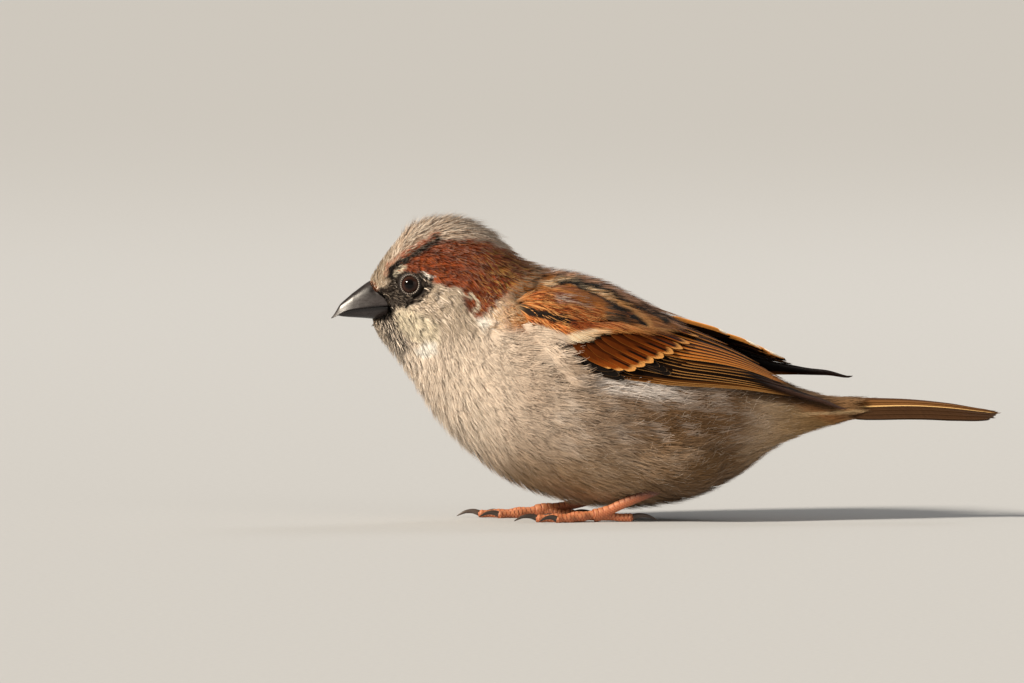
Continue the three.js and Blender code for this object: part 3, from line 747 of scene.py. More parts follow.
    def head(self, place: Array, colour: Array, fleck: Array) -> Array:
        """Lays the head's markings over the coat's ground colour.

        Args:
            place: Points in mm along the last axis.
            colour: The ground colour at each.
            fleck: Each barb's luck.

        Returns:
            The colours.
        """
        x = place[..., 0] + 0.35 * wave_noise(place, 2.2, 11)
        z = place[..., 2] + 0.35 * wave_noise(place, 2.0, 12)
        luck = (fleck * 7.3) % 1
        colour = laid(colour, *((p.colour, p.weight(x, z, fleck))
                                for p in (self.cheek_pale, self.neck_buff, self.nape)))
        front, rear = ramp(x, -58, -63), ramp(x, -44, -37)
        crown = laid(Tone.CROWN,
                     (Tone.FOREHEAD, front),
                     (Tone.CROWN_PALE, (luck > 0.5) * (0.75 - 0.4 * front)),
                     (Tone.NAPE, (luck < 0.12) * ramp(x, -62, -56) * 0.7))
        deep = 0.42 + 0.5 * wave_noise(place * (0.6, 1, 1), 1.7, 21) + 0.5 * (luck < 0.25)
        pale = (luck > 0.86 - 0.2 * ramp(x, -46, -34)) * (0.45 + 0.35 * ramp(x, -50, -36))
        chestnut = laid(Tone.CHESTNUT,
                        (Tone.CHESTNUT_DEEP, np.clip(deep, 0, 0.9)),
                        (Tone.CHESTNUT_PALE, pale),
                        (Tone.NAPE, ramp(x, -37, -32) * 0.45),
                        (Tone.GOLDEN_FLECK, rear * (luck > 0.76) * 0.85),
                        (Tone.BLACK, rear * (luck < 0.16) * 0.5))
        rust = ramp(from_line(np.array(self.shadow_slit) + (-0.5, 0.9), x, z), 1.1, 0.35)
        soft_mask = self.mask.weight(x, z, np.ones(x.shape)) * ((luck * 5.1) % 1 < 0.9)
        dark_parts = (self.bib_front, self.bib, self.mask, self.nostril_tuft, self.brow_front, self.brow_back,
                      self.neck_spot, self.throat_spot, self.crescent_dark)
        return laid(colour,
                    (crown, self.crown.weight(x, z, fleck)),
                    (chestnut, self.chestnut.weight(x, z, fleck)),
                    (Tone.CHESTNUT, (luck > 0.3) * rust * (0.55 + 0.4 * ramp(x, -60, -57))),
                    (Tone.SOOT_FRINGE, soft_mask),
                    *((p.colour, p.weight(x, z, fleck)) for p in dark_parts),
                    (Tone.CHEEK_PALE, ramp(from_line(self.crescent, x, z), 0.5, 0.25)),
                    # painted shadow along the gap between crown and chestnut
                    (Tone.BLACK, ramp(from_line(self.shadow_slit, x, z), 0.95, 0.4)))

    def mantle(self, place: Array, fleck: Array) -> Array:
        """The streaked back: buff and rufous with bold black stripes along it.

        Args:
            place: Points in mm along the last axis.
            fleck: Each barb's luck.

        Returns:
            The colours.
        """
        x, y, z = place[..., 0], np.abs(place[..., 1]), place[..., 2]
        drift = wave_noise(place, 4.0, 31)
        side = ramp(y, 2.4, 4.2)
        stripes = ramp(np.cos(2 * np.pi * (y - 1.7) / self.stripe_pitch + 0.4 * drift), 0.3, 0.6) * (1 - side)
        colour = laid(
            Tone.MANTLE,
            (Tone.MANTLE_BROWN, 0.35 + 0.35 * drift),
            (Tone.NAPE_GREY, ramp(x, -9, 1) * 0.2),
            (Tone.MANTLE_BUFF, 0.6 * (1 - side)),
            (Tone.MANTLE_RIDGE, ramp(from_line(self.ridge, x, z), 1.15, 0.5) * (fleck > 0.15)),
            (Tone.BLACK, stripes * 0.9 * ramp(x, -30, -24)),
            (Tone.MANTLE_BROWN, (fleck < 0.15) * 0.8))
        pale = laid(Tone.MANTLE_BUFF,
                    (Tone.WING_BAR, 0.7 * ramp(x, -9, -16) * (fleck > 0.3)))
        for line, half in ((self.streak_buff, 0.85), (self.scapular_fringe, 0.22), (self.streak_front, 0.8)):
            buff = ramp(from_line(line, x, z), half + 0.15, half - 0.25)
            colour = blend(colour, pale, buff * side)
        colour = laid(colour, (Tone.MANTLE_GREY, self.grey_fall.weight(x, z, fleck) * side))
        for line, half in ((self.streak_top, 0.3), (self.streak_upper, 0.55), (self.streak_lower, 0.45),
                           (self.streak_rear, 0.3)):
            black = ramp(from_line(line, x, z + 0.2 * drift), half + 0.15, half - 0.15)
            colour = laid(colour, (Tone.BLACK, black * side))
        return laid(colour, (Tone.BLACK, self.black_fall.weight(x, z, fleck) * side))


# ---- Feathers made of barbs ----


@dataclass
class Plumes:
    """Small feathers to grow, one row each: where they root, how they lie and how long they are."""

    s: Array
    v: Array
    length: Array  # mm
    half: Array  # half width, mm
    depth: Array  # how far under the outline they root, mm
    lift: Array  # how far over the outline their tips stand, mm
    turn: Array  # radians off the lie of the coat

    def some(self, keep: Array) -> "Plumes":
        """The rows that keep picks."""
        return Plumes(*(getattr(self, f)[keep] for f in self.__dataclass_fields__))


@dataclass
class BarbStyle:
    """How a small feather's vane splits into barbs."""

    barbs: int = 9
    spans: int = 4
    fray: float = 0.2  # share by which barbs end short, at random
    round_tip: float = 0.24  # share by which the outermost barbs end short
    camber: float = 0.3
    overlap: float = 1.7  # width of a barb over the distance between two
    stray: float = 0.05  # sideways wander of a barb's tip over its feather's length
    shade: float = 0.16  # how much barbs differ in brightness
    clump: float = 0.05  # how much feathers differ in brightness
    spike: float = 0.0  # extra lift of single barbs, in mm
    hair: float = 0.0  # width of loose single barbs, in mm


# Gives colours for points of barbs, from their places across and along and random numbers.
Painter = Callable[[Array, Array, Array, np.random.Generator], Array]


def grow(form: Surface, plumes: Plumes, style: BarbStyle, paint: Painter, square: Callable,
         rng: np.random.Generator) -> MeshPart:
    """Grows small feathers on a surface as fans of narrow barbs.

    Args:
        form: What they grow on.
        plumes: Where they root and how they lie.
        style: How their vanes split.
        paint: Gives colours for points (feather, barb, span), the barbs' places across
            (-1 to 1) and along (0 to 1).
        square: Turns root places into 0 to 1 map places.
        rng: Random numbers.

    Returns:
        The feathers as one part.
    """
    count, barbs, spans, steps = len(plumes.s), style.barbs, style.spans, 5
    s, v = plumes.s.copy(), plumes.v.copy()
    path, normal, lateral, forward = [], [], [], []
    for _ in range(steps + 1):
        point, out, along, across = form.frame(s, v)
        lie = unit(-along)
        beside = np.cross(out, lie)
        way = np.cos(plumes.turn)[:, None] * lie + np.sin(plumes.turn)[:, None] * beside
        path.append(point)
        normal.append(out)
        forward.append(way)
        lateral.append(np.cross(out, way))
        ds, dv = shift(along, across, way * (plumes.length / steps)[:, None])
        s, v = s + ds, v + dv
    path, normal, lateral, forward = (np.stack(a, 1) for a in (path, normal, lateral, forward))

    across = np.linspace(-1, 1, barbs) + rng.normal(0, 0.35 / barbs, (count, barbs))
    end = 1 - style.round_tip * across ** 2 - style.fray * rng.random((count, barbs))
    along = np.linspace(0, 1, spans + 1) ** 0.9
    t = along * end[..., None]
    place = np.minimum(t * steps, steps - 1e-6)
    low = place.astype(int)
    part = (place - low)[..., None]
    row = np.arange(count)[:, None, None]

    def at(values: Array) -> Array:
        """Values of the feather's middle line at each barb's spans."""
        return values[row, low] * (1 - part) + values[row, low + 1] * part

    n, b, w = unit(at(normal)), unit(at(lateral)), unit(at(forward))
    spread = np.sin(np.minimum(t / 0.6, 1) * np.pi / 2) ** 0.8 * (1 - 0.3 * ramp(t, 0.6, 1.05))
    half, length = plumes.half[:, None, None], plumes.length[:, None, None]
    wander = rng.normal(0, style.stray, (count, barbs))[..., None] * length * t ** 2
    side = across[..., None] * half * spread + wander
    rough = rng.normal(0, 1, (count, barbs))[..., None]
    spike = np.abs(rng.normal(0, style.spike, (count, barbs)))[..., None] if style.spike else 0.0
    height = (-plumes.depth[:, None, None] * 0.9 * (1 - t) ** 1.25
              + (plumes.lift[:, None, None] + spike) * t ** 2
              + 0.05 * half * rough * t - style.camber * half * across[..., None] ** 2 * 0.5)
    middle = at(path) + b * side[..., None] + n * height[..., None]
    full = style.hair or half * 2 / barbs * style.overlap
    width = np.maximum(full * (1 - along ** 2.4) * (0.55 + 0.45 * spread), 0.03)
    edge = b * (width / 2)[..., None]
    points = np.stack([middle - edge, middle + edge], -2)

    tilt = n + b * (across[..., None, None] * 0.3) + b * (rough * 0.08)[..., None] + w * 0.12
    shaded = np.stack([tilt - 0.28 * b, tilt + 0.28 * b], -2)
    colours = paint(at(path) + b * side[..., None], across, along, rng)
    glow = np.exp(rng.normal(0, style.shade, (count, barbs)) + rng.normal(0, style.clump, (count, 1)))
    colours = np.repeat((colours * glow[..., None, None])[..., None, :], 2, -2)
    root_u, root_v = square(plumes.s, plumes.v)
    patch = 0.003
    u = root_u[:, None, None] + np.broadcast_to(across[..., None], t.shape) * patch / 2
    uv = np.stack([u, root_v[:, None, None] + (t - 0.5) * patch], -1)
    uv = np.repeat(uv[..., None, :], 2, -2)
    uv[..., 1, 0] += patch / barbs
    quads = grid_quads(spans + 1, 2)
    first = np.arange(count * barbs)[:, None, None] * ((spans + 1) * 2)
    return MeshPart(points, quads[None] + first, colours, shaded, {"OFBake": uv})


@dataclass
class Tract:
    """A feather tract of the body: a stretch of s and v, and how its feathers are set."""

    name: str
    s: tuple[float, float]
    v: tuple[float, float]
    slot: str
    style: BarbStyle
    spacing: float = 1.0  # times the body's usual spacing
    length: float = 1.0  # times the usual length
    lift: float = 0.15  # mm
    jitter: float = 0.16  # radians
    fringe: float = 0.0  # how much paler each feather's tip is
    outward: float = 0.0  # radians that the feathers turn away from the back line
    sharp: bool = False  # whether the markings are followed along each barb


@dataclass
class Coat:
    """The contour feathers of head and body, in tracts that follow one another down the body."""

    form: BodyForm
    markings: Markings
    wings: tuple
    known_s: tuple = (0, 1, 3, 5, 7, 9, 10, 11.3, 12.5, 13.5, 14.6, 15.5, 16.3, 17)
    spacings: tuple = (1.35, 1.6, 1.8, 1.8, 1.7, 1.5, 1.3, 1.1, 0.95, 0.85, 0.72, 0.6, 0.5, 0.42)
    lengths: tuple = (8.0, 8.5, 8.5, 8.0, 7.5, 6.5, 5.6, 4.4, 3.6, 3.0, 2.2, 1.6, 1.2, 0.9)

    def roots(self, tract: Tract, rng: np.random.Generator) -> Plumes:
        """Sets the tract's feathers in staggered, uneven rows.

        Args:
            tract: The tract.
            rng: Random numbers.

        Returns:
            Its feathers.
        """
        s_low, s_high = tract.s
        rows_s, rows_v = [], []
        s = s_low
        stagger = 0.0
        while s < s_high:
            gap = float(np.interp(s, self.known_s, self.spacings)) * tract.spacing
            ring = np.linspace(tract.v[0], tract.v[1], 200)
            points = self.form.point(np.full(200, s), ring)
            run = np.concatenate([[0], np.cumsum(np.linalg.norm(np.diff(points, axis=0), axis=1))])
            places = np.arange(gap * (0.25 + stagger), run[-1], gap)
            places = places + rng.normal(0, 0.22 * gap, len(places))
            rows_v.append(np.interp(places, run, ring))
            step = np.linalg.norm(self.form.frame(np.full(8, s), np.linspace(*tract.v, 8))[2], axis=1)
            ds = gap * 0.86 / float(step.mean())
            rows_s.append(s + rng.normal(0, 0.25 * ds, len(places)))
            s += ds
            stagger = 0.5 - stagger
        s, v = np.concatenate(rows_s), np.concatenate(rows_v)
        s = np.clip(s, s_low, min(s_high, 17.0))
        gap = np.interp(s, self.known_s, self.spacings) * tract.spacing
        length = np.interp(s, self.known_s, self.lengths) * tract.length * np.exp(rng.normal(0, 0.1, len(s)))
        side = np.where((v % 1) < 0.5, 1.0, -1.0)
        turn = rng.normal(0, tract.jitter, len(s)) + side * tract.outward
        lift = tract.lift + np.abs(rng.normal(0, 0.08, len(s))) * ramp(s, 17, 13)
        return Plumes(s, v, length, gap * 0.98, self.form.coat_depth(s, v), lift, turn)

    def under_wing(self, place: Array) -> Array:
        """Which places a folded wing hides."""
        return self.wings[0].covers(place) | self.wings[1].covers(place)

    def lay_over_wings(self, plumes: Plumes, rng: np.random.Generator) -> None:
        """Lets the feathers ahead of and below the bend of each wing sweep over its edge.

        Args:
            plumes: The feathers; their turn, length, depth and lift change.
            rng: Random numbers.
        """
        point, out, lie, beside = self.form.lie(plumes.s, plumes.v)
        back = unit(np.array([1.0, 0, 0.02]) - out * out[:, :1])
        level = np.arctan2((back * beside).sum(1), (back * lie).sum(1))
        line = self.wings[0].stations[:6, [0, 2]]
        near = ramp(from_line(line, point[:, 0], point[:, 2]), 10, 3) * ramp(point[:, 0], -12, -20)
        near *= ramp(np.abs(point[:, 1]), 9, 13) * ramp(point[:, 2], 49, 42)
        plumes.turn += near * level * 0.85
        way = np.cos(plumes.turn)[:, None] * lie + np.sin(plumes.turn)[:, None] * beside
        long = plumes.length * (1 + 0.35 * near)
        ends = point + way * long[:, None]
        over = self.under_wing(ends) & ~self.under_wing(point) & (ends[:, 0] < -17)
        over &= ends[:, 2] < height_at(self.markings.shoulder_line, ends[:, 0]) - 1.0
        tucked = self.under_wing(ends) & ~over
        plumes.length[:] = np.where(over, long, plumes.length)
        plumes.depth[over] *= 0.35
        plumes.lift[over] = rng.uniform(1.3, 2.1, over.sum())
        plumes.lift[tucked] = -0.9

    def keep(self, plumes: Plumes) -> Array:
        """Which feathers aren't under a folded wing, in an eye or in the bill.

        Args:
            plumes: The feathers.

        Returns:
            Whether each stays.
        """
        place = self.form.point(plumes.s, plumes.v)
        eye = self.form.socket
        tip = self.form.point(plumes.s - 0.12, plumes.v)
        keep = ~self.under_wing(place) & (self.form.into_bill(place) < 0.6)
        for p in (place, tip):
            clear = np.where(p[:, 0] > eye.x + 0.5, 1.8, 2.3)
            keep &= np.hypot(p[:, 0] - eye.x, p[:, 2] - eye.z) > clear
        return keep

    def build(self, tract: Tract, finish: bpy.types.Material, seed: int,
              nodes: Sequence[str] = ()) -> None:
        """Grows one tract and puts it on the bird.

        Args:
            tract: The tract.
            finish: The feathers' material.
            seed: Seed of its random numbers.
            nodes: CAD nodes that it stands for.
        """
        rng = np.random.default_rng(seed)
        plumes = self.roots(tract, rng)
        plumes = plumes.some(self.keep(plumes))
        self.lay_over_wings(plumes, rng)

        def paint(points: Array, across: Array, along: Array, draw: np.random.Generator) -> Array:
            """Markings along each barb or at its middle, a darker base and, on some, a pale fringe.

            Args:
                points, across, along: Places in mm, across the vanes and along them.
                draw: Random numbers.

            Returns:
                A colour for each point.
            """
            middle = len(along) * 2 // 3
            seen = points if tract.sharp else points[:, :, middle:middle + 1]
            seen = seen + draw.normal(0, 0.1, seen.shape[:2] + (1, 3))
            luck = np.broadcast_to(draw.random(seen.shape[:2])[..., None], seen.shape[:3])
            colour = np.broadcast_to(self.markings.body(seen, luck), points.shape).copy()
            base = ramp(along, 0.5, 0.05)[None, None, :] * 0.35
            colour = colour * (1 - base[..., None])
            pale = ramp(along, 0.7, 1.0)[None, None, :] * tract.fringe
            pale = pale * draw.uniform(0.3, 1.0, (colour.shape[0], 1, 1))
            return blend(colour, tone(Tone.CROWN_PALE), np.broadcast_to(pale, colour.shape[:3]))

        def square(s: Array, v: Array) -> tuple[Array, Array]:
            """Root places as shares of the tract, inside a small margin."""
            return (0.02 + 0.96 * (s - tract.s[0]) / (tract.s[1] - tract.s[0]),
                    0.02 + 0.96 * (v - tract.v[0]) / (tract.v[1] - tract.v[0]))

        put(tract.name, grow(self.form, plumes, tract.style, paint, square, rng), finish, nodes)

    def skin(self, finish: bpy.types.Material, nodes: Sequence[str]) -> None:
        """Makes the one skin under the whole coat, closed at the face and under the tail.

        Args:
            finish: Its material.
            nodes: CAD nodes that it stands for.
        """
        rows, columns = 190, 120
        s, v = np.meshgrid(np.linspace(0, 17, rows), np.arange(columns) / columns, indexing="ij")
        point, out, _, _ = self.form.frame(s, v)
        skin = point - out * self.form.coat_depth(s, v)[..., None]
        ends = [np.repeat(skin[i].mean(0, keepdims=True), columns, 0) for i in (0, -1)]
        shrunk = [skin[i] * 0.4 + e * 0.6 for i, e in ((0, ends[0]), (-1, ends[1]))]
        skin = np.concatenate([ends[0][None], shrunk[0][None], skin, shrunk[1][None], ends[1][None]])
        quads = grid_quads(rows + 4, columns, closed=True)
        u, w = np.meshgrid(np.linspace(0, 1, rows + 4), np.arange(columns) / columns, indexing="ij")
        part = MeshPart(skin, quads, self.markings.body(skin), None, {"OFBake": np.stack([u, w], -1)})
        put("skin", part, finish, nodes)


# ---- The folded wings ----


@dataclass
class WingForm(Surface):
    """The outer surface of a folded wing: s is minus X, v the height between its edges."""

    side: int = LEFT
    # Each slice: x; low edge y, z; high edge y, z.
    stations: Array = field(default_factory=lambda: np.array([
        (-33.0, 17.2, 46.2, 15.6, 49.6), (-27.0, 20.0, 41.6, 12.6, 52.4), (-21.0, 21.9, 36.6, 11.0, 52.2),
        (-16.5, 22.5, 33.4, 10.0, 51.0), (-10.0, 22.6, 32.3, 8.6, 49.0), (-3.0, 22.0, 31.5, 6.8, 46.4),
        (4.0, 20.8, 30.8, 5.0, 43.6), (11.0, 18.6, 30.2, 3.6, 40.6), (18.0, 15.8, 29.6, 3.0, 37.0),
        (24.5, 13.0, 28.9, 3.0, 33.0), (30.0, 10.8, 28.2, 4.2, 30.3), (35.5, 9.2, 26.7, 5.9, 28.2),
        (39.7, 8.1, 25.1, 7.5, 25.6)]))
    corner: float = 0.74  # height of the shoulder of a slice, as a share
    lift: float = 7.3  # the right wing's tip is held this much higher
    reach: float = 1.5
    lift_from: float = -2.0
    lift_run: float = 44.0

    def raised(self, x: Array) -> tuple[Array, Array]:
        """How far a place of the right wing is moved back and up, in mm."""
        share = np.maximum(0, x - self.lift_from) / self.lift_run * (self.side == RIGHT)
        return self.reach * share, self.lift * share ** 1.5

    def edges(self, x: Array) -> tuple[Array, Array]:
        """The low and the high edge at X, as rows [y, z].

        Args:
            x: Where.

        Returns:
            Both edges.
        """
        dense = np.linspace(0, len(self.stations) - 1, 400)
        rows = through(self.stations, dense)
        row = through(self.stations, np.interp(x, rows[:, 0], dense))
        return row[..., 1:3], row[..., 3:5]

    def point(self, s: Array, v: Array) -> Array:
        """Points of the wing's surface, in mm.

        Args:
            s, v: Places on the wing.

        Returns:
            The points.
        """
        x = -s
        low, high = self.edges(x)
        corner = np.stack([low[..., 0] * 1.02, low[..., 1] + self.corner * (high[..., 1] - low[..., 1])], -1)
        c = self.corner
        h = np.clip(v, 0, 1)
        q = (c - np.sqrt(c * c - (2 * c - 1) * h)) / (2 * c - 1)
        q = q[..., None]
        at = (1 - q) ** 2 * low + 2 * q * (1 - q) * corner + q * q * high
        slope = 2 * (1 - q) * (corner - low) + 2 * q * (high - corner)
        slope = slope / np.maximum(slope[..., 1:2], 0.05) * (high[..., 1:2] - low[..., 1:2])
        at = at + slope * (v - h)[..., None]
        back, up = self.raised(x)
        return np.stack([x + back, self.side * at[..., 0], at[..., 1] + up], -1)

    def outward(self) -> float:
        """The tangents cross towards +Y on both wings."""
        return float(self.side)

    def share(self, x: Array, z: Array) -> Array:
        """The height of a place between the edges, as a share."""
        low, high = self.edges(x)
        return (z - low[..., 1]) / (high[..., 1] - low[..., 1])

    def covers(self, place: Array) -> Array:
        """Which points of the body lie well under this wing.

        Args:
            place: Points in mm.

        Returns:
            Whether each does.
        """
        x, y = place[..., 0], place[..., 1] * self.side
        back, up = self.raised(x)
        low, high = self.edges(x - back)
        z = place[..., 2] - up
        return ((y > 2.5) & (x > -30.5) & (x < 38) & (z > low[..., 1] + 1.0) & (z < high[..., 1] - 1.6))

    def rest_place(self, points: Array) -> Array:
        """Points of this wing as they would be on an unraised wing."""
        back, up = self.raised(points[..., 0])
        return np.stack([points[..., 0] - back, points[..., 1], points[..., 2] - up], -1)


@dataclass
class Blades:
    """Stiff feathers, one row each, from root to tip on a surface."""

    root: Array  # s, v
    tip: Array
    outer: Array  # width of the vane towards low v, mm
    inner: Array
    layer: Array  # height over the surface at root and tip, mm
    core: Array  # how much of the vane is dark, 0 to 1
    bend: float = 1.0  # power that delays the run across
    round_tip: float = 0.1  # share by which the edges end short
    taper: float = 0.5  # width at the tip over the full width
    taper_from: float = 0.75
    camber: float = 0.06
    tilt: float = 0.13  # rise of the outer edge for each mm off the shaft, so that it lies over its neighbour


COLUMNS = np.array([-1, -0.86, -0.6, -0.32, -0.08, 0, 0.08, 0.32, 0.6, 0.86, 1])


def stiff_feathers(form: Surface, blades: Blades, rng: np.random.Generator, rows: int = 20,
                   thickness: float = 0.14) -> MeshPart:
    """Builds stiff feathers as thin closed blades with a raised shaft.

    Args:
        form: The surface that they lie on.
        blades: Their places and sizes.
        rng: Random numbers.
        rows: Vertices along each.
        thickness: Of the vane, in mm.

    Returns:
        The feathers as one part.
    """
    count = len(blades.root)
    ring = np.concatenate([COLUMNS, COLUMNS[-2:0:-1]])
    under = np.concatenate([np.zeros(len(COLUMNS), bool), np.ones(len(COLUMNS) - 2, bool)])
    w = ring[None, None, :]
    t = (1 - (1 - np.linspace(0, 1, rows)) ** 1.35)[None, :, None]
    ragged = 0.005 * rng.normal(size=(count, 1, len(ring)))
    ragged[:, :, under] = ragged[:, :, 1:len(COLUMNS) - 1][:, :, ::-1]
    reach = t * (1 - blades.round_tip * np.abs(w) ** 2.4 + ragged * ramp(t, 0.7, 1))
    start, stop = blades.root[:, None, None, :], blades.tip[:, None, None, :]
    s = start[..., 0] + (stop - start)[..., 0] * reach
    v = start[..., 1] + (stop - start)[..., 1] * reach ** blades.bend
    step = 0.01
    ahead = form.point(start[..., 0] + (stop - start)[..., 0] * (reach + step),
                       start[..., 1] + (stop - start)[..., 1] * (reach + step) ** blades.bend)
    point, out, along, across = form.frame(s, v)
    way = unit(ahead - point)
    beside = unit(np.cross(out, way))
    beside = beside * np.sign((beside * across).sum(-1, keepdims=True))
    full = np.where(w < 0, blades.outer[:, None, None], blades.inner[:, None, None])
    narrow = 1 - (1 - blades.taper) * ramp(reach, blades.taper_from, 1.02)
    offset = full * w * ((0.4 + 0.6 * ramp(reach, 0, 0.3)) * narrow)
    ds, dv = shift(along, across, beside * offset[..., None])
    layer = blades.layer[:, 0, None, None] * (1 - reach) + blades.layer[:, 1, None, None] * reach
    wide = np.maximum(blades.outer, blades.inner)[:, None, None]
    height = layer + blades.camber * wide * (1 - w * w) - blades.tilt * offset
    height = height + 0.06 * np.exp(-(w / 0.09) ** 2) * (1 - reach)
    depth = thickness * np.sqrt(np.maximum(0.0, 1 - w * w)) + 0.02
    height = np.where(under[None, None, :], height - depth, height)
    points = form.point(s + ds, v + dv) + out * height[..., None]
    length = np.linalg.norm(points[:, -1, 5] - points[:, 0, 5], axis=-1)[:, None, None]
    closed = points.copy()
    closed[:, 0] = points[:, 0].mean(1, keepdims=True)
    last = closed[:, -1, :len(COLUMNS)].copy()
    closed[:, -1, len(COLUMNS):] = last[:, -2:0:-1]
    vane = np.stack([np.broadcast_to(0.5 + 0.5 * w, reach.shape), np.broadcast_to(t, reach.shape)], -1)
    out_mm = np.abs(offset)
    barbs = np.stack([out_mm, reach * length - out_mm * 1.1 + np.arange(count)[:, None, None] * 37.0], -1)
    cells = math.ceil(math.sqrt(count))
    cell = np.arange(count)
    sheet = np.where(under, 0.48, 0.0)  # the underside has its own half of the cell
    bake = np.stack([
        (cell % cells)[:, None, None] / cells + (0.04 + 0.44 * (0.5 + 0.5 * w) + sheet) / cells
        + 0 * reach,
        (cell // cells)[:, None, None] / cells + (0.04 + 0.92 * reach) / cells], -1)
    core = np.broadcast_to(blades.core[:, None, None], reach.shape)
    quads = grid_quads(rows, len(ring), closed=True)
    first = np.arange(count)[:, None, None] * (rows * len(ring))
    return MeshPart(closed, quads[None] + first, None, None, {"OFBake": bake, "vane": vane, "barbs": barbs},
                    {"core": core})


@dataclass(frozen=True)
class StiffVane:
    """Flight-feather keratin, zipped into a vane: smooth, faintly glossy, ribbed by its barbs."""

    name: str
    dark: str  # middle of the feather
    band: str  # between its dark middle and its outer fringe
    edge: str  # the outer fringe
    inner_edge: str
    tip: str
    edge_share: float = 0.09  # of the feather's width
    band_share: float = 0.2  # where its core is 1
    inner_share: float = 0.05
    tip_share: float = 0.04
    dark_from: float = -1.0  # share of its length where the dark middle begins
    second_line: float = 0.0  # place of a second fringe line across it
    root_shade: float = 0.0  # how much darker it is towards its root
    tip_blur: float = 0.01
    tip_corner: float = -1.0  # place across it from which the tip is pale
    edge_to: float = 2.0  # share of its length where the outer fringe ends
    roughness: float = 0.6  # tight barbs give a soft gloss
    contrast: float = 0.3
    barb_mm: float = 0.3  # barbs are 0.1 mm apart, drawn coarser so that they show

    def make(self) -> bpy.types.Material:
        """The material: fringes, core and tip by place on the vane, with barbs slanting off the shaft.

        Returns:
            The material.
        """
        nodes = [
            ("vane", "UVMap", {"uv_map": "vane"}),
            ("place", "SeparateXYZ", {"Vector": "vane"}),
            ("barbs", "UVMap", {"uv_map": "barbs"}),
            ("spread", "Mapping", {"Vector": "barbs", "Scale": (0.7, 1 / self.barb_mm, 1.0)}),
            ("ribs", "TexNoise", {"Vector": "spread", "Scale": 1.0, "Detail": 3.0, "Roughness": 0.65}),
            ("core", "Attribute", {"attribute_name": "core"}),
            ("ribbed", "MapRange", {"Value": "ribs", "From Min": 0.25, "From Max": 0.75,
                                    "To Min": 1 - self.contrast, "To Max": 1 + self.contrast})]
        tip_start = 1 - self.tip_share
        for name, operation, *given in (
                ("centred", "SUBTRACT", "ribs", 0.5),
                ("fray", "MULTIPLY", "centred", 0.1),
                ("across", "ADD", "place.X", "fray"),
                ("along", "ADD", "place.Y", "fray"),
                ("pulled", "MULTIPLY", "across", "core.Fac"),  # a smaller core lets the band reach further in
                ("band_side", "STEP", "pulled", self.band_share + 0.05, self.band_share - 0.03),
                ("band_root", "STEP", "along", self.dark_from + 0.1, self.dark_from - 0.1),
                ("band_whole", "MAXIMUM", "band_side", "band_root"),
                ("band_end", "STEP", "along", self.edge_to + 0.12, self.edge_to - 0.12),
                ("band", "MULTIPLY", "band_whole", "band_end"),
                ("fringe", "STEP", "across", self.edge_share + 0.02, self.edge_share - 0.02),
                ("line_offset", "SUBTRACT", "across", self.second_line),
                ("line_distance", "ABSOLUTE", "line_offset", 0.0),
                ("line_near", "STEP", "line_distance", 0.035, 0.01),
                ("line_faint", "MULTIPLY", "line_near", 0.55),
                ("lined", "MAXIMUM", "fringe", "line_faint"),
                ("edge_end", "STEP", "along", self.edge_to + 0.08, self.edge_to - 0.08),
                ("edge", "MULTIPLY", "lined" if self.second_line else "fringe", "edge_end"),
                ("inner", "STEP", "across", 0.97 - self.inner_share, 1.01 - self.inner_share),
                ("tip_end", "STEP", "along", tip_start - self.tip_blur, tip_start + self.tip_blur),
                ("tip_side", "STEP", "across", self.tip_corner - 0.06, self.tip_corner + 0.06),
                ("tip", "MULTIPLY", "tip_end", "tip_side"),
                ("root_end", "STEP", "along", 0.35, 0.85),
                ("root_part", "MULTIPLY", "root_end", self.root_shade),
                ("lit", "ADD", "root_part", 1 - self.root_shade),
                ("value", "MULTIPLY", "ribbed", "lit")):
            if name.startswith("line") and not self.second_line:
                continue
            if operation != "STEP":
                nodes.append((name, "Math", {"operation": operation, 0: given[0], 1: given[1]}))
                continue
            source, low, high = given
            nodes.append((name, "MapRange", {
                "interpolation_type": "SMOOTHSTEP", "Value": source, "From Min": min(low, high),
                "From Max": max(low, high), "To Min": float(low > high), "To Max": float(low < high)}))
        colour = self.dark
        for name, over in (("band", self.band), ("edge", self.edge), ("inner", self.inner_edge),
                           ("tip", self.tip)):
            nodes.append((name + "_laid", "Mix", {"data_type": "RGBA", "Factor": name, 6: colour, 7: over}))
            colour = name + "_laid.2"
        return make_material(
            self.name, *nodes,
            ("tinted", "HueSaturation", {"Value": "value", "Color": colour}),
            ("bump", "Bump", {"Height": "ribs", "Strength": 0.35, "Distance": 0.08 * MM}),
            ("shader", "BsdfPrincipled", {"Base Color": "tinted", "Normal": "bump",
                                          "Roughness": self.roughness, "Specular IOR Level": 0.04}))


